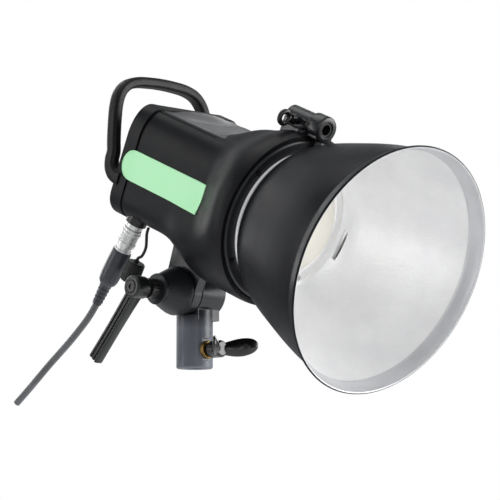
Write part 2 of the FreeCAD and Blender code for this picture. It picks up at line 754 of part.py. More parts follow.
# ================================================================ rear panel
PANEL_A0, PANEL_A1 = -62.95, -60.5      # rear and front face of the panel
LCD_S, LCD_U = -8.0, 103.5
LCD_HW, LCD_HH = 22.0, 10.5
DIAL_S, DIAL_U, DIAL_R = 31.0, 100.0, 9.0
DIAL_REAR_A = -71.5
BUTTON_U = 80.0
BUTTONS = [(name, -26.0 + 16.0 * k) for k, name in enumerate(
    ("model_button", "test_button", "set_button", "mode_button"))]
BUTTON_HW, BUTTON_HH = 5.4, 3.2
BUTTON_REAR_A = -65.2
SWITCH_S, SWITCH_U = 26.0, 58.0
SWITCH_HW, SWITCH_HH = 8.0, 4.9         # opening
FRAME_HW, FRAME_HH = 9.5, 6.3           # frame round it
SYNC_S, SENSOR_S, SOCKETS_U = -6.0, -28.0, 58.0
PANEL_SCREWS = [(-42.0, 66.0), (42.0, 66.0), (-32.5, 117.0), (32.5, 117.0)]    # s, u

# bezel: rounded frame behind the seam, stepped inside for the panel
outer_bezel = straight_body(-68.0, REAR_SEAM_A, -1.3)
outer_bezel = outer_bezel.common(block(BEZEL_REAR_A, REAR_SEAM_A, -80, 80, 0, 170))
outer_bezel = fillet(outer_bezel, 3.4,
                     lambda edge: in_plane(edge, "Y", -BEZEL_REAR_A, near=0.02, flat=0.05))
bezel = outer_bezel.cut(straight_body(-68.0, -63.0, 5.2))
bezel = bezel.cut(straight_body(-63.0, REAR_SEAM_A + 1, 3.4))
for side in (1, -1):
    bezel = bezel.cut(badge_recess(side, BODY_HW + 4, 5.4, REAR_SEAM_A + 0.01, 90))
bezel = cut_all(bezel, [rod(SHANK_R, -68, -63.9, s, u) for s, u in HANDLE_SCREWS])
save_head("rear_bezel", bezel)

# panel with its openings and the frame of the power switch
panel = straight_body(PANEL_A0, PANEL_A1, 3.5)
panel = panel.cut(bar(-64, -60, LCD_S, LCD_U, LCD_HW, LCD_HH))
panel = panel.cut(rod(4.2, -64, -58, DIAL_S, DIAL_U))
panel = cut_all(panel, [bar(-64, -58, s, BUTTON_U, BUTTON_HW + 0.25, BUTTON_HH + 0.25)
                        for name, s in BUTTONS])
panel = panel.cut(bar(-64, -58, SWITCH_S, SWITCH_U, SWITCH_HW, SWITCH_HH))
panel = panel.cut(rod(4.3, -64, -58, SYNC_S, SOCKETS_U))
panel = panel.cut(rod(5.2, -64, -58, SENSOR_S, SOCKETS_U))
panel = cut_all(panel, [rod(SHANK_R, -64, -58, s, u) for s, u in PANEL_SCREWS])
surround = bar(-64.3, PANEL_A1, SWITCH_S, SWITCH_U, FRAME_HW, FRAME_HH)
surround = surround.cut(bar(-70, -58, SWITCH_S, SWITCH_U, SWITCH_HW, SWITCH_HH))
cheeks = [block(PANEL_A1, -53.0, SWITCH_S - FRAME_HW, SWITCH_S + FRAME_HW,
                SWITCH_U + u0, SWITCH_U + u1)
          for u0, u1 in ((-FRAME_HH, -SWITCH_HH), (SWITCH_HH, FRAME_HH))]
panel = panel.fuse(surround).fuse(cheeks[0].fuse(cheeks[1])).removeSplitter()
panel = panel.cut(post(1.2, -60.0, SWITCH_S, SWITCH_U - 8, SWITCH_U + 8))
save_head("rear_panel", panel)
for s, u in PANEL_SCREWS:
    case_screw(point(PANEL_A0, s, u), toward(1, 0, 0))

lcd_window = bar(-63.4, -61.8, LCD_S, LCD_U, LCD_HW - 0.1, LCD_HH - 0.1)
lcd_window = fillet(lcd_window, 0.5, lambda edge: in_plane(edge, "Y", 63.4))
save_head("lcd_window", lcd_window)

# control dial with grip flutes and a pointer dot, on its shaft
dial = rod(DIAL_R, DIAL_REAR_A, -63.6, DIAL_S, DIAL_U)
dial = fillet(dial, 1.2, lambda edge: in_plane(edge, "Y", -DIAL_REAR_A))
dial = cut_all(dial, [rod(0.8, -72, -64.6, DIAL_S + x, DIAL_U + y)
                      for x, y in circle_steps(20, DIAL_R + 0.25)])
dial = dial.cut(rod(5.2, -72, -71.0, DIAL_S, DIAL_U))
dial = dial.fuse(rod(2.95, -69.0, -58.9, DIAL_S, DIAL_U))
dial = dial.fuse(ring(4.0, 2.5, -61.2, -60.4, DIAL_S, DIAL_U))
dial = dial.fuse(rod(1.2, -71.2, -70.9, DIAL_S, DIAL_U + 3.4))
save_head("control_dial", dial)

# buttons with a retaining flange behind the panel
for name, s in BUTTONS:
    button = bar(BUTTON_REAR_A, -58.6, s, BUTTON_U, BUTTON_HW, BUTTON_HH)
    button = fillet(button, 1.4, lambda edge: edge.BoundBox.YLength > 6)
    button = fillet(button, 0.7, lambda edge: in_plane(edge, "Y", -BUTTON_REAR_A))
    flange = bar(-60.2, -58.6, s, BUTTON_U, BUTTON_HW + 1.2, BUTTON_HH + 1.0)
    save_head(name, button.fuse(flange))

# rocker of the power switch, on an upright pivot pin
ROCKER_OUTLINE = [      # a, s from the middle of the switch
    (-65.6, -6.6), (-63.6, -1.0), (-66.8, 6.6), (-60.4, 6.3), (-57.0, 2.0), (-57.0, -2.0),
    (-60.4, -6.3),
]
rocker = prism([point(a, SWITCH_S + s, SWITCH_U - 4.7) for a, s in ROCKER_OUTLINE],
               toward(0, 0, 9.4))
pivot_pin = post(1.15, -60.0, SWITCH_S, SWITCH_U - 6.2, SWITCH_U + 6.2)
save_head("power_switch", pivot_pin.fuse(rocker))

save_head("sensor_dome", turned([
    (-70.8, 0.0), (-70.5, 1.6), (-69.7, 3.1), (-68.3, 4.3), (-66.5, 4.9), (-63.1, 5.1),
    (-60.2, 5.1), (-60.2, 0.0)], SENSOR_S, SOCKETS_U))
sync = ring(4.2, 1.8, -64.2, -52.0, SYNC_S, SOCKETS_U)
sync = sync.fuse(ring(6.0, 1.8, -64.2, -63.0, SYNC_S, SOCKETS_U))
sync = sync.fuse(rod(4.2, -52.0, -50.6, SYNC_S, SOCKETS_U))
save_head("sync_socket", sync)

# ================================================================ handle
HANDLE_LEAN = 0.48      # rearward travel of the loop for each unit of height
BAR_HW, BAR_HH = 4.1, 5.2       # half sizes of the bar in and across the plane of the loop
BAR_CORNER_R = 3.2
HANDLE_SEAT_A = -70.0
# left half of the loop's centre line: s, u
HANDLE_LINE = [(0.0, 136.6), (24.0, 135.3), (37.5, 131.2), (45.6, 121.5), (49.2, 103.0),
               (50.3, 84.0)]
# foot outline: a, u
FOOT_OUTLINE = [(-84.5, 86.0), (-72.0, 90.0), (-66.5, 78.0), (-67.1, 64.5), (-74.0, 63.0),
                (-81.5, 72.0)]


def bar_section(centre):
    """Rounded rectangle across the top of the loop."""
    outward = toward(-HANDLE_LEAN, 0, 1.0)
    outward.normalize()
    lean = math.atan(HANDLE_LEAN)
    normal = toward(math.cos(lean), 0, math.sin(lean))
    middle = BAR_CORNER_R * (1 - math.sqrt(0.5))
    arcs = []
    for x, y in ((1, 1), (-1, 1), (-1, -1), (1, -1)):
        offsets = [(BAR_HW, BAR_HH - BAR_CORNER_R), (BAR_HW - middle, BAR_HH - middle),
                   (BAR_HW - BAR_CORNER_R, BAR_HH)]
        if x * y < 0:
            offsets.reverse()
        arcs.append([centre + outward * (x * across) + normal * (y * along)
                     for across, along in offsets])
    edges = []
    for k, arc in enumerate(arcs):
        edges.append(Part.Arc(*arc).toShape())
        edges.append(Part.makeLine(arc[2], arcs[(k + 1) % 4][0]))
    return Part.Face(Part.Wire(Part.__sortEdges__(edges)))


def handle_foot(side):
    """Broad foot that closes one end of the loop and carries its screw."""
    s0, s1 = sorted((side * 46.5, side * 54.4))
    foot = prism([point(a, s0, u) for a, u in FOOT_OUTLINE], toward(0, s1 - s0, 0))
    foot = fillet(foot, 2.6, lambda edge: edge.Length > 7.5
                  and abs(edge.BoundBox.XLength - (s1 - s0)) < 0.02)
    return fillet(foot, 1.4, lambda edge: True)


line = [point(-38.4 - HANDLE_LEAN * u, s, u) for s, u in HANDLE_LINE]
left_half = swept_arcs(bar_section(line[0]), line, toward(0, 1, 0))
handle = left_half.fuse(left_half.mirror(ORIGIN, X))
handle = handle.fuse(handle_foot(1)).fuse(handle_foot(-1)).cut(outer_bezel)
handle = largest(handle)
for s, u in HANDLE_SCREWS:
    handle = handle.cut(rod(SHANK_R, -90, -60, s, u))
    handle = handle.cut(rod(2.7, -90, HANDLE_SEAT_A, s, u))
    case_screw(point(HANDLE_SEAT_A, s, u), toward(1, 0, 0))
save_head("handle", handle)

# side badges: plates let into shell and bezel
badge_skin = flared_body(-68.0, 42.0, -0.65)
save_head("side_badges", *[
    prism(badge_outline(side * (BODY_HW - 1.35), -0.12), toward(0, side * 9.0, 0))
    .common(badge_skin) for side in (1, -1)])

# ================================================================ umbrella holder
HOLDER_A0, HOLDER_A1 = 45.0, 82.0
HOLDER_R = 8.6
HOLDER_SEAT_U = 152.2
THUMB_A = 58.0          # place of the thumb screw along the holder

# bored barrel on a screwed foot, with a tongue down over the front of the collar
holder = rod(HOLDER_R, HOLDER_A0, HOLDER_A1, 0.0, UMBRELLA_U)
holder = holder.fuse(block(HOLDER_A0, HOLDER_A1, -HOLDER_R, HOLDER_R, 149.4, UMBRELLA_U))
holder = holder.cut(block(75.0, 90, -20, 20, 100, 147.0))
foot = block(47.0, 72.0, -14.0, 14.0, 140.0, HOLDER_SEAT_U)
foot = fillet(foot, 5.0, lambda edge: edge.BoundBox.ZLength > 5)
holder = holder.fuse(foot)
holder = fillet(holder, 1.2, lambda edge: in_plane(edge, "Y", -HOLDER_A1)
                or in_plane(edge, "Y", -HOLDER_A0))
holder = holder.cut(outer_body)
holder = holder.fuse(block(75.3, 78.4, -3.6, 3.6, 139.5, 152.0))
holder = largest(holder)
holder = holder.cut(rod(UMBRELLA_BORE_R, 40, 90, 0, UMBRELLA_U))


def thumb_rod(radius, s0, s1):
    """Cylinder on the axis of the thumb screw."""
    return cylinder(radius, point(THUMB_A, s0, UMBRELLA_U), point(THUMB_A, s1, UMBRELLA_U))


holder = holder.cut(thumb_rod(2.52, 3.0, 12.0))
for a, s in HOLDER_SCREWS:
    holder = holder.cut(post(SHANK_R, a, s, 130, 160))
    holder = holder.cut(post(2.7, a, s, HOLDER_SEAT_U, 160))
    case_screw(point(a, s, HOLDER_SEAT_U), toward(0, 0, -1))
save_head("umbrella_holder", holder)
save_head("umbrella_pad", thumb_rod(2.45, 4.35, 5.2))

# thumb screw with two grooves and an eye
thumb_screw = thumb_rod(2.45, 5.25, 14.5).fuse(thumb_rod(3.8, 10.5, 15.0))
for s in (6.4, 7.4):
    thumb_screw = thumb_screw.cut(thumb_rod(3.4, s, s + 0.35).cut(thumb_rod(2.1, s, s + 0.35)))
eye = Part.makeTorus(4.6, 1.9, point(THUMB_A, 21.5, UMBRELLA_U), toward(1, 0, 0))
thumb_screw = thumb_screw.fuse(eye).fuse(thumb_rod(2.6, 14.0, 17.6))
save_head("umbrella_screw", thumb_screw.removeSplitter())

# ================================================================ reflector
FLANGE_A0, FLANGE_A1 = 76.2, 77.0       # turned-in foot of the dish
RIVETS = [polar(47.6, degrees) for degrees in (20, 70, 140, 240, 290, 340)]
# outer surface of the dish: a, radius
DISH_PROFILE = [
    (77.2, 50.6), (78.6, 53.4), (81.5, 57.2), (85.5, 60.9), (90.5, 64.2), (100.0, 68.8),
    (110.0, 72.5), (128.0, 78.2), (144.0, 83.0), (160.0, 87.0), (171.5, 88.9),
]
# stepped lip, out along the outside and back along the inside: a, radius
LIP_PROFILE = [
    (171.5, 88.9), (174.6, 88.9), (175.6, 89.6), (183.2, REFLECTOR_R - 0.9),
    (184.3, REFLECTOR_R - 0.2), (184.9, REFLECTOR_R - 0.9), (184.5, REFLECTOR_R - 1.9),
    (183.4, REFLECTOR_R - 1.9), (176.4, 88.9), (175.2, 87.9), (171.7, 87.9),
]


def offset_inward(profile, distance):
    result = []
    for k, (a, radius) in enumerate(profile):
        a0, radius0 = profile[max(k - 1, 0)]
        a1, radius1 = profile[min(k + 1, len(profile) - 1)]
        step_a, step_r = a1 - a0, radius1 - radius0
        length = math.hypot(step_a, step_r)
        result.append((a + distance * step_r / length, radius - distance * step_a / length))
    return result


inner = offset_inward(DISH_PROFILE, SHEET)
dish = turned_edges(
    [profile_spline(DISH_PROFILE)] + profile_lines(LIP_PROFILE + [inner[-1]])
    + [profile_spline(inner[::-1])]
    + profile_lines([inner[0], (FLANGE_A0, inner[0][1]), (FLANGE_A0, 50.6), DISH_PROFILE[0]]))
# rolled bead round the rim
bead = Part.makeTorus(REFLECTOR_R - 0.9, 1.05, point(184.0, 0, AXIS_U), toward(1, 0, 0))
dish = dish.fuse(bead).removeSplitter()
# umbrella-shaft slot in the throat on the right side
slot_degrees = range(204, 179, -3)
slot_points = [point(80.2, *polar(44, degrees)) for degrees in slot_degrees]
slot_points += [point(80.2, *polar(64, degrees)) for degrees in reversed(slot_degrees)]
dish = largest(dish.cut(prism(slot_points, toward(2.2, 0, 0))))
dish = dish.fuse(ring(50.6, 45.5, FLANGE_A0, FLANGE_A1)).removeSplitter()
dish = cut_all(dish, [rod(1.0, 70, 80, s, u) for s, u in RIVETS])
save_head("reflector_dish", dish)

# flange with sleeve, outer ring and three bayonet lugs
flange = turned([(75.0, 44.0), (75.0, 50.2), (75.2, 50.4), (76.15, 50.4), (76.15, 44.0)])
flange = flange.fuse(ring(46.9, 44.0, 70.0, 75.5))
flange = flange.fuse(turned([
    (75.42, 50.0), (75.42, 53.0), (75.8, 53.4), (76.5, 53.4), (76.9, 53.0), (76.9, 50.75),
    (76.15, 50.75), (76.15, 50.0)]))
for k in range(3):
    wedge = sector(69.6, 90 + 120 * k, LUG_HALF, 2.2)
    flange = flange.fuse(wedge.common(ring(49.7, 45.0, 69.6, 71.8)))
# keyway for the release pin: round end plus run-out in the turning direction
keyway = fuse_all(rod(1.5, 74, 77, LOCK_S),
                  [rod(1.5, 74, 77, *polar(-LOCK_S, 180 - j)) for j in range(1, 9)])
flange = flange.cut(keyway)
flange = cut_all(flange, [rod(1.0, 70, 80, s, u) for s, u in RIVETS])
save_head("reflector_flange", flange.removeSplitter())
save_head("flange_rivets", *[
    rod(1.0, 75.1, FLANGE_A1, s, u).fuse(rod(1.6, FLANGE_A1, 77.8, s, u)) for s, u in RIVETS])

# ================================================================ lamp end
BASE_FRONT_A = 67.0
TUBE_RING_R, TUBE_R = 29.0, 4.2
TUBE_A = 79.0
TUBE_LEGS = [polar(TUBE_RING_R, degrees) for degrees in (-104, -76)]
BASE_SCREWS = [polar(36, degrees) for degrees in (45, 135, 225, 315)]

lamp_base = turned([
    (56.0, 0.0), (56.0, 43.0), (60.5, 43.0), (60.5, 46.0), (62.0, 46.0), (62.0, 41.5),
    (BASE_FRONT_A, 41.5), (BASE_FRONT_A, 0.0)])
lamp_base = cut_all(lamp_base, [rod(5.6, 60, 70, s, u) for s, u in TUBE_LEGS])
lamp_base = lamp_base.cut(rod(12.6, 50, 70))
lamp_base = cut_all(lamp_base, [rod(SHANK_R, 50, 70, s, u) for s, u in BASE_SCREWS])
for s, u in BASE_SCREWS:
    case_screw(point(BASE_FRONT_A, s, u), toward(-1, 0, 0))
save_head("lamp_base", lamp_base)

# ring flash tube: open ring with two legs into the lamp base
arc = Part.Arc(*[point(TUBE_A, *polar(TUBE_RING_R, degrees))
                 for degrees in (-76, 90, 256)]).toShape()
first = arc.FirstParameter
flash_tube = pipe([arc], TUBE_R, arc.Curve.value(first), arc.Curve.tangent(first)[0])
for s, u in TUBE_LEGS:
    flash_tube = flash_tube.fuse(rod(TUBE_R, 62.0, TUBE_A, s, u))
    flash_tube = flash_tube.fuse(Part.makeSphere(TUBE_R, point(TUBE_A, s, u)))
save_head("flash_tube", flash_tube.removeSplitter())

save_head("modelling_led", rod(12.4, 58.0, 66.4).fuse(turned([
    (66.4, 0.0), (66.4, 10.0), (68.0, 9.6), (70.0, 8.2), (71.8, 5.6), (72.7, 2.6),
    (73.0, 0.0)])))

# heatsink behind the lamp base: plate, boss, five fins and a pad for the lamp
heatsink = rod(24.0, 52.5, 56.0).fuse(rod(13.8, 50.2, 53.0))
heatsink = fuse_all(heatsink, [bar(40.0, 51.0, 0, AXIS_U + k * 4.2, 12.0 - 1.2 * abs(k), 0.8)
                               for k in range(-2, 3)])
heatsink = heatsink.fuse(rod(12.4, 56.0, 57.9))
save_head("led_heatsink", heatsink.removeSplitter())


# glass dome over tube and lamp
def dome_profile(length, radius):
    angles = [math.radians(degrees) for degrees in range(0, 90, 10)]
    return [(67.2 + length * math.sin(angle), radius * math.cos(angle))
            for angle in angles] + [(67.2 + length, 0.0)]


dome_outer = dome_profile(31.0, 43.2)
dome_inner = dome_profile(28.8, 41.0)
save_head("glass_dome", turned_edges(
    [profile_spline(dome_outer)] + profile_lines([dome_outer[-1], dome_inner[-1]])
    + [profile_spline(dome_inner[::-1])] + profile_lines([dome_inner[0], dome_outer[0]])))

# ================================================================ electronics
# two capacitors, each with two terminals at the front
CAPACITOR_U = 68.4
capacitors = []
for s in (-23.0, 23.0):
    can = rod(17.0, -36.0, 38.0, s, CAPACITOR_U)
    can = fillet(can, 1.5, lambda edge: edge.BoundBox.YLength < 0.01)
    capacitors.append(fuse_all(can, [rod(3.0, 38.0, 42.0, s + offset, CAPACITOR_U)
                                     for offset in (-6.5, 6.5)]))
save_head("flash_capacitors", *capacitors)

BOARD_U0, BOARD_U1 = 86.0, 87.6
# block components on the power board: middle a, middle s, width in s, length in a, height
BOARD_BLOCKS = [
    (-30, 26, 12, 16, 12), (-8, 28, 14, 18, 16), (18, 26, 12, 22, 10),
    (32, -24, 10, 10, 14), (16, -30, 12, 10, 18), (-8, -30, 12, 14, 12),
]
board = block(-46.0, 38.0, -40.0, 40.0, BOARD_U0, BOARD_U1)
for a, s, width, length, height in BOARD_BLOCKS:
    board = board.fuse(block(a - length / 2, a + length / 2, s - width / 2, s + width / 2,
                             BOARD_U1, BOARD_U1 + height))
board = fuse_all(board, [post(4.0, a, s, BOARD_U1, 99.0)
                         for a, s in ((4, 12), (18, 8), (30, 4), (33, 18))])
save_head("power_board", board.removeSplitter())

# control board with display module, button switches and dial encoder
control = block(-51.9, -50.3, -35.5, 40.0, 52.0, 116.0)
control = control.fuse(bar(-61.75, -51.0, LCD_S, LCD_U, LCD_HW - 1.0, LCD_HH - 1.0))
control = fuse_all(control, [bar(-57.4, -51.9, s, BUTTON_U, 3.0, 3.0) for name, s in BUTTONS])
control = control.cut(bar(-53, -49, SWITCH_S, SWITCH_U, 11, 8))
control = control.cut(rod(5.0, -53, -49, SYNC_S, SOCKETS_U))
encoder = bar(-58.8, -52.0, DIAL_S, DIAL_U, 6.5, 6.5)
encoder = encoder.fuse(ring(4.1, 3.04, -60.2, -58.0, DIAL_S, DIAL_U))
encoder = encoder.cut(rod(3.04, -58.9, -58.0, DIAL_S, DIAL_U))
save_head("control_board", control.fuse(encoder).removeSplitter())

# trigger transformer: bobbin with two end flanges
transformer = rod(7.0, 26.0, 42.0, -18.0, 111.5)
transformer = transformer.fuse(rod(9.0, 24.0, 26.0, -18.0, 111.5))
transformer = transformer.fuse(rod(9.0, 42.0, 44.0, -18.0, 111.5))
save_head("trigger_transformer", transformer.removeSplitter())

# fan frame: square with round duct, hub on three struts, rotor pin
FAN_U = 105.0
FAN_A0, FAN_A1 = -45.0, -35.0
fan_centre = point(0, 0, FAN_U)
frame = bar(FAN_A0, FAN_A1, 0, FAN_U, 17.0, 17.0)
frame = fillet(frame, 3.0, lambda edge: edge.BoundBox.YLength > 9)
frame = frame.cut(rod(15.8, FAN_A0 - 1, FAN_A1 + 1, 0, FAN_U))
spider = rod(6.5, FAN_A0, FAN_A0 + 1.6, 0, FAN_U)
for degrees in (45, 165, 285):
    strut = block(FAN_A0, FAN_A0 + 1.6, 4.0, 17.0, FAN_U - 1.2, FAN_U + 1.2)
    strut.rotate(fan_centre, Y, degrees)
    spider = spider.fuse(strut)
frame = frame.fuse(spider.common(bar(FAN_A0, FAN_A1, 0, FAN_U, 16.9, 16.9)))
frame = frame.fuse(rod(1.5, FAN_A0, FAN_A0 + 7.0, 0, FAN_U)).removeSplitter()
save_head("fan_frame", frame)

# fan rotor: hub with seven pitched blades
rotor = rod(6.2, FAN_A0 + 2.2, FAN_A1 - 0.6, 0, FAN_U)
for k in range(7):
    blade = block(FAN_A0 + 2.6, FAN_A1 - 1.0, 5.0, 15.2, FAN_U - 0.45, FAN_U + 0.45)
    blade.rotate(point((FAN_A0 + FAN_A1) / 2, 8, FAN_U), X, 38)
    blade = blade.common(rod(15.2, FAN_A0 + 2.3, FAN_A1 - 0.7, 0, FAN_U))
    blade.rotate(fan_centre, Y, k * 360.0 / 7)
    rotor = rotor.fuse(blade)
rotor = rotor.cut(rod(1.56, FAN_A0 + 1.0, FAN_A0 + 7.6, 0, FAN_U)).removeSplitter()
save_head("fan_rotor", rotor)

# ================================================================ power connector
# socket cup with three contact pins
socket = plug_rod(8.4, -8.5, 3.6)
socket = socket.cut(plug_rod(6.9, -6.5, 5))
socket = fuse_all(socket, [plug_rod(0.8, -6.6, -0.5, x, y) for x, y in circle_steps(3, 3.0)])
save_head("power_socket", socket.removeSplitter())

# plug barrel, waisted for its locking sleeve
plug = plug_rod(6.8, -4.0, 33.0)
plug = plug.cut(plug_rod(5.6, -5.0, 3.0))
plug = plug.cut(plug_rod(7.2, 8.0, 27.0).cut(plug_rod(5.7, 7.0, 28.0)))
save_head("power_plug", plug.removeSplitter())

# sleeve with two raised bands and grip flutes between them
sleeve = plug_rod(7.1, 8.4, 23.6).cut(plug_rod(5.78, 5, 30))
for start, end in ((11.0, 12.6), (20.0, 21.4)):
    sleeve = sleeve.fuse(plug_rod(7.6, start, end).cut(plug_rod(6.5, 5, 30)))
sleeve = cut_all(sleeve, [plug_rod(0.42, 13.2, 19.4, x, y)
                          for x, y in circle_steps(24, 7.35)])
save_head("plug_sleeve", sleeve.removeSplitter())

# boot with a ribbed strain relief: distance from the seat, radius
boot_profile = [
    (28.2, 0.0), (28.2, 6.95), (29.2, 7.65), (31.0, 7.8), (40.0, 8.0), (50.0, 7.95),
    (54.5, 7.6), (57.0, 6.9), (58.4, 5.9), (59.2, 5.0),
]
for k in range(5):
    rib = 59.6 + k * 3.5
    boot_profile += [(rib + 0.2, 4.8 - k * 0.2), (rib + 2.0, 4.75 - k * 0.2),
                     (rib + 2.2, 4.0 - k * 0.12), (rib + 3.2, 4.0 - k * 0.12)]
boot_profile += [(77.5, 3.4), (77.5, 0.0)]
boot = turned_on(PLUG_SEAT, PLUG_DIR, boot_profile)
boot = boot.cut(plug_rod(6.85, 20, 33.1)).cut(plug_rod(LEAD_R, 40, 80))
save_head("plug_boot", boot)


# short length of the supply lead, hanging behind the head
def untilted(x, y, z):
    """Row-frame point taken back to the untilted head, so that tilting restores it."""
    tilt = math.radians(TILT_DEG)
    height = z - PIVOT_Z
    return Vector(x, y * math.cos(tilt) + height * math.sin(tilt),
                  PIVOT_Z - y * math.sin(tilt) + height * math.cos(tilt))


lead_start = PLUG_SEAT + PLUG_DIR * 40.5
lead_points = [lead_start, PLUG_SEAT + PLUG_DIR * 77.5, untilted(-37.2, 90.3, 33.9),
               untilted(-36.7, 114.3, 16.6), untilted(-35.4, 167.9, -20.7)]
lead_section = Part.Face(Part.Wire([Part.makeCircle(LEAD_R - 0.02, lead_start, PLUG_DIR)]))
save_head("power_lead", swept_arcs(lead_section, lead_points, PLUG_DIR))

# dust cap with grip flutes and a stub for its cord
cap_centre = point(-34.0, 37.0, 2.0)
cap_dir = toward(-0.10, 0.0, -1.0)
cap_dir.normalize()


def cap_rod(radius, start, end, x=0.0, y=0.0):
    origin = cap_centre + beside(cap_dir, x, y)
    return cylinder(radius, origin + cap_dir * start, origin + cap_dir * end)


cap = turned_on(cap_centre, cap_dir, [
    (-8.0, 0.0), (-8.0, 6.6), (-7.2, 7.5), (7.0, 7.5), (8.0, 6.8), (8.0, 5.4), (-4.0, 5.4),
    (-4.0, 0.0)])
cap = cut_all(cap, [cap_rod(0.6, -6.2, 6.2, x, y) for x, y in circle_steps(18, 7.75)])
save_head("dust_cap", cap.fuse(cap_rod(2.0, -10.0, -7.8)))

# cord from the housing floor to the cap
anchor = point(-30.0, 38.0, BODY_BOTTOM)
cord_points = [anchor - Z, anchor - Z * 6, point(-27.5, 38.0, 24.0),
               cap_centre - cap_dir * 12.4, cap_centre - cap_dir * 10.1]
cord = Part.BSplineCurve()
cord.interpolate(cord_points)
save_head("cap_lanyard", pipe([cord.toShape()], 0.8, cord_points[0],
                              cord.tangent(cord.FirstParameter)[0]))

save_head("case_screws", *case_screws)
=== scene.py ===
"""Studio flash head on its stand bracket, with reflector, handle, supply lead and rear panel.

World frame: metres, +Z up. The head tilts about a pivot parallel to X, above the origin.
Its lamp axis points to -Y and 24 degrees down; the clamp lever hangs on the -X side.
Head coordinates are millimetres from the pivot: forward along the lamp axis, side towards
-X, and up square to both. All sizes below are millimetres unless a comment says metres.
"""

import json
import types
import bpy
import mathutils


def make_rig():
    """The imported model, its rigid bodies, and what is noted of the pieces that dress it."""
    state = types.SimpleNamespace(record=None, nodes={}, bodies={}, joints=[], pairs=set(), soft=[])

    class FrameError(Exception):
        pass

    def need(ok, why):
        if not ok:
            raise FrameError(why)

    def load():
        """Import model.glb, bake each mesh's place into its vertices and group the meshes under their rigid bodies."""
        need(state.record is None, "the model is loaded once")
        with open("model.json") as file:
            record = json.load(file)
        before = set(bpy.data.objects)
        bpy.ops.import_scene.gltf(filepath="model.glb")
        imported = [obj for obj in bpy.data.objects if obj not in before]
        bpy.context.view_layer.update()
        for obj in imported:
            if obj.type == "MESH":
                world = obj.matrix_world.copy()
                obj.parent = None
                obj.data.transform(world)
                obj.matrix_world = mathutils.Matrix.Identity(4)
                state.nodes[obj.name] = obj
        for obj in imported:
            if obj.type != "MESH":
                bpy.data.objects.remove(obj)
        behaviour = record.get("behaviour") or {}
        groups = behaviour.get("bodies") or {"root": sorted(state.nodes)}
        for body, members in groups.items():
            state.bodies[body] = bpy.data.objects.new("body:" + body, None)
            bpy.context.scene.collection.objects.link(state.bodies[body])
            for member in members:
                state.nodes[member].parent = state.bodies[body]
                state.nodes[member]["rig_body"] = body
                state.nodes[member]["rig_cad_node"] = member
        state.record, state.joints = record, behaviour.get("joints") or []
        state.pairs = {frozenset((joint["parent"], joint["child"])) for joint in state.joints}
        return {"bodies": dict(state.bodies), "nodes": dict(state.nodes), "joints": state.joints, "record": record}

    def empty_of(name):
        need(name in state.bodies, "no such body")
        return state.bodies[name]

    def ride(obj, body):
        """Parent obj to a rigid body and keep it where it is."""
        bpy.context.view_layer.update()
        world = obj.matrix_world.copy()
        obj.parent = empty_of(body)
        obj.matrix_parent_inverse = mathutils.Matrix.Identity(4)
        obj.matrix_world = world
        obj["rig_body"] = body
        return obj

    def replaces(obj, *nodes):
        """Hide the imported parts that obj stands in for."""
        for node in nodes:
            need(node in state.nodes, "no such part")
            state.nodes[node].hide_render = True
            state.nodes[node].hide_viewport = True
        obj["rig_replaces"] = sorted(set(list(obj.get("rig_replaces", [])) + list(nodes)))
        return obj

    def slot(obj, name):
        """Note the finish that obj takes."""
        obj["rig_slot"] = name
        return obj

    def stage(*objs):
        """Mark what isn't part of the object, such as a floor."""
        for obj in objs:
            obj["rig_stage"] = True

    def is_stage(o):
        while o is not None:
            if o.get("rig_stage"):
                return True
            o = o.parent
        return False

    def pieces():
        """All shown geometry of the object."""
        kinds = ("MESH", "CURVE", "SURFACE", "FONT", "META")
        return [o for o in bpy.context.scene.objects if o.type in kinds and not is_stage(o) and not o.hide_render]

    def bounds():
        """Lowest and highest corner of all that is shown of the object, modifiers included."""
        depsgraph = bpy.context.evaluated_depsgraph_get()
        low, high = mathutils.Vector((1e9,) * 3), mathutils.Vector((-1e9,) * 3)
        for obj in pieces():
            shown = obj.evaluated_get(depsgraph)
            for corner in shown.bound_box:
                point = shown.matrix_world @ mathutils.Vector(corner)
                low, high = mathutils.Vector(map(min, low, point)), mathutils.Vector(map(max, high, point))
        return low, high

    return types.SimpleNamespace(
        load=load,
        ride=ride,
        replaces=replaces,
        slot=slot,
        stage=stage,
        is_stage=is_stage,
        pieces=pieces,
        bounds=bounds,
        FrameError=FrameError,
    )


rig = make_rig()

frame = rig.load()

import json
import math
import random

import bmesh
import bpy
import numpy as np
from mathutils import Vector

CAD_BOX = [list(map(float, v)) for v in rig.bounds()]
random.seed(7)

# ------------------------------------------------------------------ driving dimensions
TILT = math.radians(24.0)      # lamp axis below the horizontal
TILT_COS, TILT_SIN = math.cos(TILT), math.sin(TILT)
PIVOT_Z = 58.5                 # tilt pivot above the origin
LAMP_UP = 83.0                 # lamp axis above the pivot, in head coordinates
HOLDER_UP = 157.0              # umbrella holder axis above the pivot


def head(forward, side, up):
    """Head coordinates in mm to a world point in metres."""
    return Vector((-side, -(forward * TILT_COS + up * TILT_SIN),
                   PIVOT_Z + up * TILT_COS - forward * TILT_SIN)) / 1000.0


def head_dir(forward, side, up):
    """Unit world direction of a direction in head coordinates."""
    return Vector((-side, -(forward * TILT_COS + up * TILT_SIN),
                   up * TILT_COS - forward * TILT_SIN)).normalized()


def world(x, y, z):
    """World point in metres from mm."""
    return Vector((x, y, z)) / 1000.0


LAMP_AXIS = head_dir(1, 0, 0)
LAMP_ORIGIN = head(0, 0, LAMP_UP)
PIVOT = world(0, 0, PIVOT_Z)


# ------------------------------------------------------------------ shader building
SHADERS = {}


def linear(rgb):
    """sRGB 0-255 triple to a linear RGBA tuple."""
    channels = [v / 255.0 for v in rgb]
    return tuple(v / 12.92 if v <= 0.04045 else ((v + 0.055) / 1.055) ** 2.4
                 for v in channels) + (1.0,)


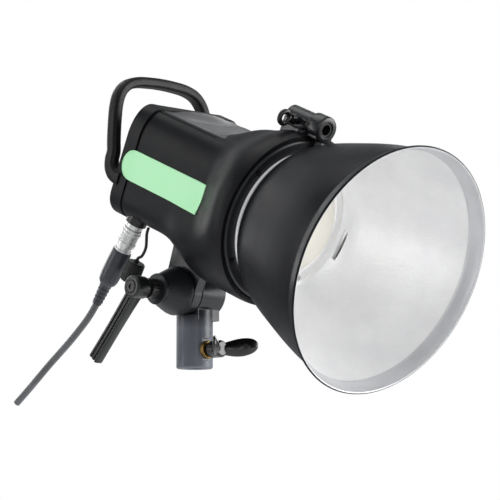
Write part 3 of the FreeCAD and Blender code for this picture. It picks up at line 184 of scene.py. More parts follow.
def shade(colour, gain, lift=0.0):
    """Scale and lift a linear colour, kept within 0 to 1."""
    return tuple(min(max(v * gain + lift, 0), 1) for v in colour[:3]) + (1,)


class Shader:
    """A material around one Principled shader, with helpers that string nodes together."""

    def __init__(self, name):
        self.material = bpy.data.materials.new(name)
        self.material.use_nodes = True
        self.tree = self.material.node_tree
        self.tree.nodes.clear()
        self.output = self.node("ShaderNodeOutputMaterial")
        self.principled = self.node("ShaderNodeBsdfPrincipled")
        self.link(self.principled.outputs[0], self.output.inputs[0])
        self.object_coords = self.node("ShaderNodeTexCoord").outputs["Object"]
        SHADERS[name] = self

    def node(self, kind, **settings):
        node = self.tree.nodes.new(kind)
        for key, value in settings.items():
            setattr(node, key, value)
        return node

    def link(self, source, target):
        self.tree.links.new(source, target)

    def feed(self, value, socket):
        """Link a socket, or set a plain number or colour."""
        if isinstance(value, (int, float, tuple)):
            socket.default_value = value
        else:
            self.link(value, socket)

    def surface(self, values):
        """Feed the Principled shader's inputs by name."""
        for key, value in values.items():
            self.feed(value, self.principled.inputs[key])

    def mapped(self, scale=(1, 1, 1), rotation=(0, 0, 0)):
        node = self.node("ShaderNodeMapping")
        node.inputs["Scale"].default_value = scale
        node.inputs["Rotation"].default_value = rotation
        self.link(self.object_coords, node.inputs["Vector"])
        return node.outputs[0]

    def noise(self, scale, detail, rough=0.5, coords=None, distortion=0.0):
        node = self.node("ShaderNodeTexNoise")
        node.inputs["Scale"].default_value = scale
        node.inputs["Detail"].default_value = detail
        node.inputs["Roughness"].default_value = rough
        node.inputs["Distortion"].default_value = distortion
        self.link(coords or self.object_coords, node.inputs["Vector"])
        return node.outputs["Fac"]

    def voronoi(self, scale, feature="F1"):
        node = self.node("ShaderNodeTexVoronoi", feature=feature)
        node.inputs["Scale"].default_value = scale
        self.link(self.object_coords, node.inputs["Vector"])
        return node.outputs["Distance"]

    def ramp(self, value, over, to=(0.0, 1.0)):
        """Map the range `over` to the range `to`, clamped."""
        node = self.node("ShaderNodeMapRange")
        node.inputs["From Min"].default_value, node.inputs["From Max"].default_value = over
        node.inputs["To Min"].default_value, node.inputs["To Max"].default_value = to
        self.link(value, node.inputs["Value"])
        return node.outputs["Result"]

    def math(self, operation, first, second, clamp=False):
        node = self.node("ShaderNodeMath", operation=operation, use_clamp=clamp)
        self.feed(first, node.inputs[0])
        self.feed(second, node.inputs[1])
        return node.outputs[0]

    def mix(self, factor, first, second):
        node = self.node("ShaderNodeMix", data_type="RGBA")
        self.feed(factor, node.inputs[0])
        self.feed(first, node.inputs[6])     # colour A
        self.feed(second, node.inputs[7])    # colour B
        return node.outputs[2]

    def bump(self, height, distance, strength, normal=None):
        node = self.node("ShaderNodeBump")
        node.inputs["Strength"].default_value = strength
        node.inputs["Distance"].default_value = distance
        self.link(height, node.inputs["Height"])
        if normal is not None:
            self.link(normal, node.inputs["Normal"])
        return node.outputs[0]

    def bevel(self, radius):
        node = self.node("ShaderNodeBevel", samples=4)
        node.inputs["Radius"].default_value = radius
        return node.outputs[0]

    def edge(self, radius):
        """0 on flats, towards 1 on sharp edges."""
        rounded = self.bevel(radius)
        geometry = self.node("ShaderNodeNewGeometry")
        dot = self.node("ShaderNodeVectorMath", operation="DOT_PRODUCT")
        self.link(rounded, dot.inputs[0])
        self.link(geometry.outputs["Normal"], dot.inputs[1])
        return self.math("SUBTRACT", 1.0, dot.outputs["Value"], clamp=True)


# ------------------------------------------------------------------ kinds of material
def plastic(name, rgb, rough, grain, grain_scale, bevel, vary, edge_wear_and_light, specular, scratch, coat):
    """Moulded plastic or paint: grain, patchy sheen, handling marks, and edges lightened partly as rubbed wear and
    partly as a painted edge highlight.
    """
    sh = Shader(name)
    patches = sh.noise(scale=14.0, detail=4, rough=0.6)
    marks = sh.noise(scale=90.0, detail=4, rough=0.6)
    fine = sh.noise(scale=grain_scale, detail=2, rough=0.6)
    cells = sh.voronoi(scale=grain_scale * 0.55)
    grain_height = sh.math("ADD", fine, sh.math("MULTIPLY", cells, 0.6))
    base = linear(rgb)
    colour = sh.mix(sh.ramp(patches, over=(0.32, 0.68)),
                    shade(base, gain=1 - vary * 1.6),
                    shade(base, gain=1 + vary * 2.0, lift=0.0008))
    colour = sh.mix(sh.ramp(marks, over=(0.55, 0.8), to=(0.0, 0.35)), colour,
                    shade(base, gain=1.35, lift=0.002))
    roughness = sh.math("ADD",
                        sh.ramp(patches, over=(0.3, 0.7), to=(rough - 0.06, rough + 0.06)),
                        sh.ramp(marks, over=(0.4, 0.75), to=(-0.03, 0.04)))
    # Edges are lightened where the bevel normal turns away: partly rubbed wear, partly a painted highlight along the
    # edges.
    if edge_wear_and_light > 0:
        rubbed_and_lit_edge = sh.edge(radius=bevel * 1.6)
        rubbed_and_lit_edge = sh.math("MULTIPLY", sh.ramp(rubbed_and_lit_edge, over=(0.02, 0.25)),
                         sh.ramp(marks, over=(0.42, 0.62)))
        colour = sh.mix(sh.math("MULTIPLY", rubbed_and_lit_edge, edge_wear_and_light), colour,
                        shade(base, gain=2.2, lift=0.03))
        roughness = sh.math("SUBTRACT", roughness, sh.math("MULTIPLY", rubbed_and_lit_edge, 0.12))
    if scratch > 0:
        streaks = sh.mapped(scale=(260, 9, 9), rotation=(0.3, 0.5, 0.7))
        lines = sh.ramp(sh.noise(scale=6.0, detail=2, coords=streaks, distortion=0.3),
                        over=(0.70, 0.78))
        colour = sh.mix(sh.math("MULTIPLY", lines, scratch), colour,
                        shade(base, gain=1.6, lift=0.01))
        roughness = sh.math("ADD", roughness, sh.math("MULTIPLY", lines, 0.08))
    dust = sh.ramp(sh.noise(scale=420.0, detail=2), over=(0.72, 0.80))
    roughness = sh.math("ADD", roughness, sh.math("MULTIPLY", dust, 0.10), clamp=True)
    normal = sh.bump(grain_height, distance=grain, strength=0.8, normal=sh.bevel(bevel))
    normal = sh.bump(marks, distance=grain * 1.5, strength=0.25, normal=normal)
    sh.surface({"Base Color": colour, "Roughness": roughness, "Normal": normal,
                "Specular IOR Level": specular})
    if coat:
        sh.surface({"Coat Weight": coat, "Coat Roughness": 0.08})


def metal(name, rgb, rough, grain, grain_scale, bevel, metallic, tarnish):
    """Fine-grained metal, optionally with patches of a tarnish colour."""
    sh = Shader(name)
    fine = sh.noise(scale=grain_scale, detail=4, rough=0.65, coords=sh.mapped())
    patches = sh.noise(scale=22.0, detail=4, rough=0.55)
    base = linear(rgb)
    dark = shade(base, gain=0.92)
    colour = sh.mix(sh.ramp(patches, over=(0.3, 0.7)), dark, shade(base, gain=1.08))
    colour = sh.mix(sh.ramp(fine, over=(0.35, 0.75), to=(0.0, 0.35)), colour, dark)
    if tarnish:
        spots = sh.noise(scale=150.0, detail=3, rough=0.6)
        colour = sh.mix(sh.ramp(spots, over=(0.52, 0.75), to=(0.0, 0.5)), colour,
                        linear(tarnish))
    roughness = sh.math("ADD",
                        sh.ramp(fine, over=(0.25, 0.75), to=(rough - 0.05, rough + 0.07)),
                        sh.ramp(patches, over=(0.3, 0.7), to=(-0.03, 0.04)), clamp=True)
    normal = sh.bump(fine, distance=grain, strength=0.7, normal=sh.bevel(bevel))
    sh.surface({"Base Color": colour, "Roughness": roughness, "Metallic": metallic,
                "Normal": normal})


def rubber(name, rgb, rough):
    """Dusty matt rubber."""
    sh = Shader(name)
    patches = sh.noise(scale=35.0, detail=4, rough=0.6)
    fine = sh.noise(scale=2600.0, detail=2, rough=0.6)
    dust = sh.ramp(sh.noise(scale=160.0, detail=5, rough=0.7),
                   over=(0.55, 0.8), to=(0.0, 0.30))
    base = linear(rgb)
    colour = sh.mix(sh.ramp(patches, over=(0.35, 0.65)), shade(base, gain=0.8),
                    shade(base, gain=1.25))
    colour = sh.mix(dust, colour, shade(base, gain=1.8, lift=0.012))
    sh.surface({
        "Base Color": colour,
        "Roughness": sh.ramp(patches, over=(0.3, 0.7), to=(rough - 0.07, rough + 0.07)),
        "Specular IOR Level": 0.4,
        "Sheen Weight": 0.08,
        "Normal": sh.bump(fine, distance=0.00003, strength=0.8, normal=sh.bevel(0.0003)),
    })


def glass(name, rgb, rough, opacity, transmission, frost):
    """Transmitting glass mixed with a plain transparent lobe; frost is a bump depth in m."""
    sh = Shader(name)
    base = linear(rgb)
    smears = sh.noise(scale=60.0, detail=4, rough=0.6)
    sh.surface({
        "Base Color": sh.mix(sh.ramp(smears, over=(0.3, 0.7), to=(0.0, 0.3)), base,
                             shade(base, gain=0.9)),
        "Roughness": sh.ramp(smears, over=(0.3, 0.7), to=(rough, rough + 0.06)),
        "Transmission Weight": transmission,
        "IOR": 1.45,
    })
    if frost:
        fine = sh.noise(scale=3000.0, detail=2, rough=0.6)
        sh.surface({"Normal": sh.bump(fine, distance=frost, strength=0.6)})
    clear = sh.node("ShaderNodeBsdfTransparent")
    blend = sh.node("ShaderNodeMixShader")
    blend.inputs[0].default_value = opacity
    sh.link(clear.outputs[0], blend.inputs[1])
    sh.link(sh.principled.outputs[0], blend.inputs[2])
    sh.link(blend.outputs[0], sh.output.inputs[0])


def ink(name, rgb, rough):
    """Printed ink with a slightly uneven tone."""
    sh = Shader(name)
    fine = sh.noise(scale=900.0, detail=3, rough=0.6)
    base = linear(rgb)
    sh.surface({
        "Base Color": sh.mix(sh.ramp(fine, over=(0.35, 0.7)), base, shade(base, gain=0.82)),
        "Roughness": sh.ramp(fine, over=(0.3, 0.7), to=(rough - 0.05, rough + 0.08)),
        "Normal": sh.bump(fine, distance=0.00001, strength=0.4),
    })


def led_phosphor():
    """Yellow cells under a clear coat."""
    sh = Shader("led_phosphor")
    cells = sh.voronoi(scale=900.0)
    sh.surface({
        "Base Color": sh.mix(sh.ramp(cells, over=(0.2, 0.7)), linear((236, 205, 70)),
                             linear((220, 182, 52))),
        "Roughness": sh.ramp(sh.noise(scale=80, detail=3), over=(0.3, 0.7), to=(0.12, 0.22)),
        "Coat Weight": 0.8,
        "Normal": sh.bump(cells, distance=0.00003, strength=0.4),
    })


def reflector_silver():
    """Satin silver with a fine pebble."""
    sh = Shader("reflector_silver")
    pebble = sh.voronoi(scale=620.0, feature="SMOOTH_F1")
    patches = sh.noise(scale=26.0, detail=4, rough=0.6)
    fine = sh.noise(scale=240.0, detail=3, rough=0.6)
    normal = sh.bump(pebble, distance=0.00022, strength=0.6)
    sh.surface({
        "Base Color": sh.mix(sh.ramp(patches, over=(0.3, 0.7)), linear((234, 234, 235)),
                             linear((246, 246, 246))),
        "Metallic": 0.42,
        "Roughness": sh.math("ADD", sh.ramp(fine, over=(0.3, 0.7), to=(0.34, 0.42)),
                             sh.ramp(patches, over=(0.3, 0.7), to=(-0.02, 0.03))),
        "Normal": sh.bump(fine, distance=0.00005, strength=0.4, normal=normal),
    })


def painted_glow(name, rgb, strength):
    """Painted light: a little self-light on a part that is no lamp, so a bright part still reads in the shade of its
    neighbours.
    """
    SHADERS[name].surface({"Emission Color": linear(rgb), "Emission Strength": strength})


def paint_shade_by_height(name, heights, gains):
    """Painted light and shade: scale a material's colour by a gain that changes between two world heights (m)."""
    sh = SHADERS[name]
    socket = sh.principled.inputs["Base Color"]
    geometry = sh.node("ShaderNodeNewGeometry")
    split = sh.node("ShaderNodeSeparateXYZ")
    sh.link(geometry.outputs["Position"], split.inputs[0])
    scaled = sh.node("ShaderNodeVectorMath", operation="SCALE")
    sh.link(socket.links[0].from_socket, scaled.inputs[0])
    sh.link(sh.ramp(split.outputs["Z"], over=heights, to=gains), scaled.inputs["Scale"])
    sh.link(scaled.outputs[0], socket)


# ------------------------------------------------------------------ material tables
# name, sRGB, roughness, grain depth (m), grain scale, bevel (m), colour variation,
# edge wear and painted edge highlight, specular, scratches, clear coat
PLASTICS = (
    ("housing_black", (14, 15, 18), 0.43, 3e-5, 2100.0, 0.0005, 0.14, 0.20, 0.18, 0.10, 0.0),
    ("cover_grey", (82, 82, 83), 0.36, 1e-5, 2600.0, 0.0004, 0.06, 0.20, 0.5, 0.12, 0.0),
    ("panel_black", (22, 23, 25), 0.5, 3e-5, 2400.0, 0.0003, 0.10, 0.2, 0.35, 0.0, 0.0),
    # ring_black is lighter than housing_black to lift the shadow the bowl casts on the front ring: painted light.
    ("ring_black", (34, 35, 38), 0.42, 3e-5, 2200.0, 0.0005, 0.10, 0.30, 0.45, 0.0, 0.0),
    ("receiver_paint", (104, 108, 116), 0.36, 3e-5, 900.0, 0.0006, 0.08, 0.40, 0.35, 0.22, 0.0),
    ("handle_black", (15, 15, 16), 0.44, 5e-5, 1500.0, 0.0004, 0.12, 0.22, 0.22, 0.0, 0.0),
    ("adapter_paint", (24, 25, 28), 0.36, 4e-5, 900.0, 0.0006, 0.10, 0.40, 0.6, 0.22, 0.0),
    ("arm_paint", (30, 32, 35), 0.38, 4e-5, 900.0, 0.0006, 0.10, 0.40, 0.55, 0.2, 0.0),
    ("cone_paint", (26, 29, 33), 0.42, 5e-5, 1100.0, 0.0006, 0.10, 0.40, 0.4, 0.2, 0.0),
    ("lever_black", (20, 21, 22), 0.34, 4e-5, 1400.0, 0.0004, 0.12, 0.35, 0.5, 0.0, 0.0),
    ("gloss_black", (14, 14, 16), 0.22, 6e-6, 900.0, 0.0006, 0.10, 0.25, 0.45, 0.0, 0.35),
    ("black_anodised", (26, 26, 28), 0.33, 2e-5, 2000.0, 0.0003, 0.10, 0.55, 0.5, 0.0, 0.0),
    ("sensor_red", (120, 22, 18), 0.12, 4e-6, 900.0, 0.0003, 0.08, 0.0, 0.6, 0.0, 0.7),
    ("badge_mint", (192, 255, 200), 0.40, 1e-5, 2400.0, 0.0003, 0.03, 0.0, 0.4, 0.0, 0.0),
    ("ceramic_white", (226, 224, 216), 0.30, 1e-5, 1500.0, 0.0004, 0.03, 0.0, 0.5, 0.0, 0.0),
    ("solder_mask", (18, 78, 44), 0.35, 2e-5, 900.0, 0.0002, 0.12, 0.0, 0.5, 0.0, 0.0),
    ("coil_varnish", (92, 60, 30), 0.35, 4e-5, 700.0, 0.0003, 0.15, 0.0, 0.5, 0.0, 0.0),
    ("capacitor_sleeve", (24, 48, 92), 0.25, 1e-5, 900.0, 0.0003, 0.08, 0.0, 0.5, 0.0, 0.0),
    ("lcd_glass", (26, 34, 32), 0.08, 1e-6, 400.0, 0.0003, 0.05, 0.0, 0.6, 0.0, 1.0),
    ("reflector_black", (17, 18, 22), 0.40, 2e-5, 1500.0, 0.0004, 0.12, 0.30, 0.16, 0.12, 0.0),
)
# name, sRGB, roughness, grain depth (m), grain scale, bevel (m), metallic, tarnish sRGB
METALS = (
    ("seat_bright", (238, 238, 238), 0.36, 1e-5, 500.0, 0.0002, 0.55, None),
    ("black_oxide", (40, 40, 42), 0.35, 1e-5, 900.0, 0.00015, 1.0, None),
    ("zinc_steel", (165, 166, 168), 0.30, 1e-5, 700.0, 0.0002, 1.0, (140, 132, 118)),
    ("brass_bush", (146, 118, 72), 0.42, 1e-5, 700.0, 0.0003, 1.0, (140, 104, 58)),
    ("satin_nickel", (214, 214, 213), 0.24, 1e-5, 600.0, 0.0003, 1.0, None),
    ("bare_alloy", (182, 183, 184), 0.34, 2e-5, 500.0, 0.0003, 1.0, None),
    ("plug_satin", (232, 232, 231), 0.40, 1e-5, 600.0, 0.0003, 0.6, None),
    ("lip_turned", (208, 209, 211), 0.40, 1e-5, 600.0, 0.0003, 0.5, None),
)
# name, sRGB, roughness
RUBBERS = (
    ("fibre_disc", (48, 40, 32), 0.8),
    ("boot_rubber", (54, 56, 62), 0.34),
    ("cap_rubber", (20, 21, 22), 0.5),
    ("cord_black", (14, 14, 15), 0.5),
    ("lead_sheath", (92, 93, 96), 0.38),
    ("grip_rubber", (32, 32, 33), 0.75),
    ("silicone_key", (118, 120, 122), 0.6),
)
INKS = (
    ("print_white", (214, 216, 216), 0.55),
    ("display_face", (126, 148, 132), 0.22),
    ("display_segments", (22, 30, 26), 0.25),
)
for build, table in ((plastic, PLASTICS), (metal, METALS), (rubber, RUBBERS), (ink, INKS)):
    for row in table:
        build(*row)
glass("quartz_tube", (238, 242, 242), rough=0.03, opacity=0.55, transmission=1.0, frost=0.0)
glass("frosted_dome", (240, 238, 230), rough=0.38, opacity=0.85, transmission=0.45,
      frost=0.00003)
led_phosphor()
reflector_silver()

# Painted light: the dome, the seat ring and the badge glow so they read brighter than their lighting makes them.
painted_glow("frosted_dome", (255, 252, 244), strength=0.14)
painted_glow("seat_bright", (250, 250, 252), strength=0.26)
painted_glow("badge_mint", (150, 255, 168), strength=0.09)
# Painted light and shade: one paint, the tube below 30 mm keeps the light tone of its lit side and the lug above 40 mm
# is darkened to 0.16.
paint_shade_by_height("receiver_paint", heights=(0.030, 0.040), gains=(1.0, 0.16))

# material -> CAD pieces that wear it
CAD_MATERIALS = {
    "receiver_paint": "stand_receiver",
    "cone_paint": "clamp_cone",
    "arm_paint": "tilt_arm",
    "adapter_paint": "umbrella_holder",
    "brass_bush": "brass_insert clamp_shoe umbrella_pad",
    "black_anodised": "wing_screw lever_insert lever_screw umbrella_screw lock_slider"
                      " power_socket",
    "zinc_steel": "tilt_bolt lever_spring lock_spring sync_socket",
    "black_oxide": "case_screws",
    "satin_nickel": "flange_rivets power_plug plug_sleeve",
    "gloss_black": "wing_knob power_switch fan_frame fan_rotor",
    "lever_black": "clamp_lever",
    "fibre_disc": "friction_washers",
    "bare_alloy": "chassis led_heatsink bayonet_ring",
    "coil_varnish": "trigger_transformer",
    "housing_black": "housing_left housing_right rear_bezel",
    "cover_grey": "top_cover",
    "ring_black": "front_ring",
    "panel_black": "rear_panel",
    "lcd_glass": "lcd_window",
    "grip_rubber": "control_dial",
    "sensor_red": "sensor_dome",
    "silicone_key": "model_button test_button set_button mode_button",
    "handle_black": "handle",
    "badge_mint": "side_badges",
    "reflector_black": "reflector_dish",
    "seat_bright": "reflector_flange",
    "ceramic_white": "lamp_base",
    "quartz_tube": "flash_tube",
    "led_phosphor": "modelling_led",
    "frosted_dome": "glass_dome",
    "capacitor_sleeve": "flash_capacitors",
    "solder_mask": "power_board control_board",
    "boot_rubber": "plug_boot",
    "lead_sheath": "power_lead",
    "cap_rubber": "dust_cap",
    "cord_black": "cap_lanyard",
}
material_of = {piece: name for name, pieces in CAD_MATERIALS.items()
               for piece in pieces.split()}
for piece, cad in frame["nodes"].items():
    cad.data.materials.clear()
    cad.data.materials.append(SHADERS[material_of[piece]].material)


# ------------------------------------------------------------------ mesh helpers
def make_mesh(name, verts, faces, materials, face_slots=None, sharp=35.0):
    """Smooth-shaded mesh object; edges over `sharp` degrees stay hard."""
    mesh = bpy.data.meshes.new(name)
    mesh.from_pydata([tuple(v) for v in verts], [], faces)
    mesh.validate()
    for material in materials:
        mesh.materials.append(SHADERS[material].material)
    if face_slots is not None:
        mesh.polygons.foreach_set("material_index", face_slots)
    mesh.update()
    bm = bmesh.new()
    bm.from_mesh(mesh)
    bmesh.ops.recalc_face_normals(bm, faces=bm.faces)
    bm.to_mesh(mesh)
    bm.free()
    mesh.polygons.foreach_set("use_smooth", [True] * len(mesh.polygons))
    mesh.set_sharp_from_angle(angle=math.radians(sharp))
    obj = bpy.data.objects.new(name, mesh)
    bpy.context.scene.collection.objects.link(obj)
    return obj


def register(obj, body, slot, replaces=None):
    """Tell the frame which body carries the piece, what it stands in for, and its slot."""
    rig.ride(obj, body)
    if replaces:
        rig.replaces(obj, replaces)
    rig.slot(obj, slot)


def catmull(points, steps):
    """Catmull-Rom curve through the points, with `steps` pieces per span."""
    points = [np.array(p, float) for p in points]
    last = len(points) - 1
    curve = []
    for i in range(last):
        p0, p1, p2, p3 = (points[k] for k in (max(i - 1, 0), i, i + 1, min(i + 2, last)))
        for k in range(steps):
            t = k / steps
            curve.append(0.5 * ((2 * p1) + (p2 - p0) * t
                                + (2 * p0 - 5 * p1 + 4 * p2 - p3) * t * t
                                + (-p0 + 3 * p1 - 3 * p2 + p3) * t ** 3))
    curve.append(points[-1])
    return curve


def square_to(vector, axis):
    """The unit part of a vector that is square to an axis."""
    return (vector - axis * vector.dot(axis)).normalized()


def cross_axes(axis):
    """Two unit vectors square to a unit axis and to each other."""
    reference = Vector((1, 0, 0)) if abs(axis.x) < 0.9 else Vector((0, 0, 1))
    first = square_to(reference, axis)
    return first, axis.cross(first)


def lathe(name, profile, origin, axis, segments, materials, sharp=35.0,
          edge_slots=None, skip=None):
    """Turn a closed loop of (distance along the axis, radius) points in mm.

    edge_slots gives a material slot per profile edge; skip(edge, column) leaves out faces.
    """
    axis = Vector(axis).normalized()
    first, second = cross_axes(axis)
    verts, rows = [], []
    for distance, radius in profile:
        base = Vector(origin) + axis * (distance / 1000.0)
        if abs(radius) < 1e-6:
            rows.append([len(verts)] * segments)
            verts.append(base)
            continue
        rows.append(list(range(len(verts), len(verts) + segments)))
        for j in range(segments):
            angle = 2 * math.pi * j / segments
            verts.append(base + (first * math.cos(angle) + second * math.sin(angle))
                         * (radius / 1000.0))
    faces, face_slots = [], []
    for i, row in enumerate(rows):
        following = rows[(i + 1) % len(rows)]
        for j in range(segments):
            if skip and skip(i, j):
                continue
            k = (j + 1) % segments
            # dict keys drop the repeated vertex where the profile meets the axis
            face = list(dict.fromkeys((row[j], row[k], following[k], following[j])))
            if len(face) >= 3:
                faces.append(face)
                face_slots.append(edge_slots[i] if edge_slots else 0)
    return make_mesh(name, verts, faces, materials, face_slots, sharp)


def loft(name, rings, material, sharp):
    """Skin equal rings of points and cap both ends."""
    n = len(rings[0])
    faces = []
    for i in range(len(rings) - 1):
        for j in range(n):
            k = (j + 1) % n
            faces.append([i * n + j, i * n + k, (i + 1) * n + k, (i + 1) * n + j])
    faces.append(list(range(n))[::-1])
    faces.append([(len(rings) - 1) * n + j for j in range(n)])
    return make_mesh(name, [v for ring in rings for v in ring], faces, [material],
                     sharp=sharp)


def tube(name, path, section, sides, material, start=0, normal=Vector((0, 0, 1))):
    """Sweep section(station, angle) -> (x, y) mm along a path in metres.

    The section's x starts along `normal` at station `start` and is carried without twist.
    """
    path = [Vector(p) for p in path]
    n = len(path)
    tangents = [(path[min(i + 1, n - 1)] - path[max(i - 1, 0)]).normalized()
                for i in range(n)]
    across = [None] * n
    across[start] = square_to(normal, tangents[start])
    for i in range(start + 1, n):
        across[i] = square_to(across[i - 1], tangents[i])
    for i in range(start - 1, -1, -1):
        across[i] = square_to(across[i + 1], tangents[i])
    rings = []
    for i in range(n):
        second = tangents[i].cross(across[i])
        ring = []
        for j in range(sides):
            x, y = section(i, 2 * math.pi * j / sides)
            ring.append(path[i] + across[i] * (x / 1000.0) + second * (y / 1000.0))
        rings.append(ring)
    return loft(name, rings, material, sharp=50.0)


def round_section(radius):
    return lambda i, angle: (math.cos(angle) * radius, math.sin(angle) * radius)


# ------------------------------------------------------------------ reflector bowl
# Profiles are (forward, radius) about the lamp axis.
BOWL_WALL = 1.0
BOWL_STATIONS = (
    (77.2, 50.6), (78.6, 53.4), (81.5, 57.2), (85.5, 60.9), (90.5, 64.2), (100.0, 68.8),
    (110.0, 72.5), (128.0, 78.2), (144.0, 83.0), (160.0, 87.0), (171.5, 88.9),
)
LIP_OUTER = [(173.6, 88.95), (174.6, 89.1), (175.3, 89.5), (176.0, 90.1), (179.4, 91.65),
             (182.6, 93.0), (182.95, 93.15)]
LIP_INNER = [(183.2, 92.1), (180.0, 90.9), (176.9, 89.25), (176.2, 88.75), (175.4, 88.3),
             (174.6, 88.05), (173.4, 87.95)]
BOWL_FOOT = [(78.4, 49.9), (77.6, 49.5), (77.0, 49.2), (77.0, 45.5), (76.2, 45.5),
             (76.2, 50.4), (76.5, 50.6)]
BEAD_CENTRE, BEAD_RADIUS = (184.0, 93.2), 1.05
BEAD_ANGLES = (60, 90, 120, 150, 180, 210, 240, 275)
BLACK_EDGES_IN_BEAD = 4        # profile edges past the outer lip that are still black
BOWL_SEGMENTS = 288
SLOT_FORWARD = (79.9, 81.9)    # slot through the bowl's throat
SLOT_ANGLES = (180, 204)       # degrees, from +side towards +up


def offset_inward(points, distance):
    """Offset a profile towards the axis, square to its local direction."""
    last = len(points) - 1
    result = []
    for i, (forward, radius) in enumerate(points):
        f0, r0 = points[max(i - 1, 0)]
        f1, r1 = points[min(i + 1, last)]
        run, rise = f1 - f0, r1 - r0
        length = math.hypot(run, rise)
        result.append((forward + distance * rise / length, radius - distance * run / length))
    return result


def slot_edges(points, first):
    """Profile edges within the slot, for points that start at profile index `first`."""
    found = [first + i for i, (forward, _) in enumerate(points)
             if SLOT_FORWARD[0] <= forward <= SLOT_FORWARD[1]]
    return set(found[:-1])


def slot_columns():
    """Face columns within the slot's angles; the last one listed keeps its faces."""
    first, second = cross_axes(LAMP_AXIS)
    found = []
    for j in range(BOWL_SEGMENTS):
        angle = 2 * math.pi * j / BOWL_SEGMENTS
        spoke = first * math.cos(angle) + second * math.sin(angle)
        side, up = spoke.dot(head_dir(0, 1, 0)), spoke.dot(head_dir(0, 0, 1))
        if SLOT_ANGLES[0] <= math.degrees(math.atan2(up, side)) % 360 <= SLOT_ANGLES[1]:
            found.append(j)
    return set(found[:-1])


def reflector_bowl():
    outer = [tuple(p) for p in catmull(BOWL_STATIONS, steps=6)]
    inner = [p for p in offset_inward(outer, BOWL_WALL)[::-1] if p[0] > 78.9]
    bead = [(BEAD_CENTRE[0] - BEAD_RADIUS * math.cos(math.radians(t)),
             BEAD_CENTRE[1] + BEAD_RADIUS * math.sin(math.radians(t))) for t in BEAD_ANGLES]
    profile = outer + LIP_OUTER + bead + LIP_INNER + inner + BOWL_FOOT
    black, silver, turned = range(3)
    bright_start = len(outer) + len(LIP_OUTER) + BLACK_EDGES_IN_BEAD
    edge_slots = []
    for i, (forward, _) in enumerate(profile):
        if i < bright_start or i >= len(profile) - 3:
            edge_slots.append(black)
        else:
            edge_slots.append(turned if forward > 174.0 else silver)
    cut_edges = (slot_edges(outer, 0)
                 | slot_edges(inner, len(profile) - len(BOWL_FOOT) - len(inner)))
    cut_columns = slot_columns()
    bowl = lathe("reflector_bowl", profile, LAMP_ORIGIN, LAMP_AXIS, BOWL_SEGMENTS,
                 ["reflector_black", "reflector_silver", "lip_turned"], sharp=38.0,
                 edge_slots=edge_slots, skip=lambda i, j: i in cut_edges and j in cut_columns)
    bm = bmesh.new()
    bm.from_mesh(bowl.data)
    # The bridge joins the slot's edges in the two skins. It raises an error if their
    # loops can't be paired; the slot then stays open between the skins.
    try:
        bmesh.ops.bridge_loops(bm, edges=[e for e in bm.edges if e.is_boundary])
    except Exception:
        pass
    bm.to_mesh(bowl.data)
    bm.free()
    register(bowl, "reflector", "reflector_metal", replaces="reflector_dish")


reflector_bowl()

# ------------------------------------------------------------------ rings behind the bowl
SEAT_PROFILE = [(75.45, 53.0), (75.45, 54.4), (75.9, 54.9), (76.7, 55.1), (77.4, 54.9),
                (77.8, 54.3), (77.9, 53.6), (77.4, 53.0)]
seat = lathe("seat_ring", SEAT_PROFILE, LAMP_ORIGIN, LAMP_AXIS, 192, ["seat_bright"],
             sharp=60.0)
register(seat, "reflector", "bright_metal")

# white ring between the dome and the bowl's throat
THROAT_PROFILE = [(73.4, 41.6), (73.4, 44.9), (74.4, 44.9), (75.2, 43.9), (75.2, 41.4)]
throat = lathe("throat_ring", THROAT_PROFILE, LAMP_ORIGIN, LAMP_AXIS, 160,
               ["ceramic_white"], sharp=40.0)
register(throat, "head", "ceramic_white")

# ------------------------------------------------------------------ umbrella holder barrel
BARREL_PROFILE = [(70.0, 8.4), (70.0, 9.3), (70.8, 10.2), (72.0, 10.4), (81.4, 10.4),
                  (82.4, 9.9), (82.9, 9.0), (82.9, 6.2), (82.2, 5.5), (80.0, 5.1),
                  (80.0, 4.2), (70.0, 4.2)]
barrel = lathe("holder_barrel", BARREL_PROFILE, head(0, 0, HOLDER_UP), LAMP_AXIS, 96,
               ["adapter_paint"])
register(barrel, "head", "adapter_paint")

# ------------------------------------------------------------------ dust-cap cord
# (forward, side, up)
CORD_STATIONS = ((-30, 38, 39.2), (-29.8, 38, 33.8), (-26.6, 38, 24.5),
                 (-28.6, 37.3, 17.0), (-32.4, 37, 13.6), (-33.1, 37, 10.6))
CORD_RADIUS = 1.15
cord = tube("cap_cord", catmull([head(*p) for p in CORD_STATIONS], steps=10),
            round_section(CORD_RADIUS), 20, "cord_black")
register(cord, "cap", "lead_rubber", replaces="cap_lanyard")

# ------------------------------------------------------------------ plug and supply lead
PLUG_LEAN = math.radians(13)   # plug axis leans back from the head's down direction
PLUG_AXIS = head_dir(-math.sin(PLUG_LEAN), 0, -math.cos(PLUG_LEAN))
PLUG_ORIGIN = head(-44.8, 37.5, 41.0)
LEAD_RADIUS = 2.75
LEAD_IN_PLUG = (40.5, 60.0, 77.5)      # lead stations along the plug axis
LEAD_STATIONS = (                      # world x, y, z beyond the boot
    (-37.4, 80.6, 41.9), (-37.2, 90.3, 33.9), (-37.0, 101.9, 25.1), (-36.7, 114.3, 16.6),
    (-36.4, 126.9, 8.2), (-36.0, 139.6, -0.8), (-35.8, 152.7, -10.3), (-35.4, 167.9, -20.7),
)
lead_path = [PLUG_ORIGIN + PLUG_AXIS * (d / 1000.0) for d in LEAD_IN_PLUG]
lead_path += [world(*p) for p in LEAD_STATIONS]
lead = tube("supply_lead", catmull(lead_path, steps=10), round_section(LEAD_RADIUS), 28,
            "lead_sheath")
register(lead, "plug", "lead_rubber", replaces="power_lead")


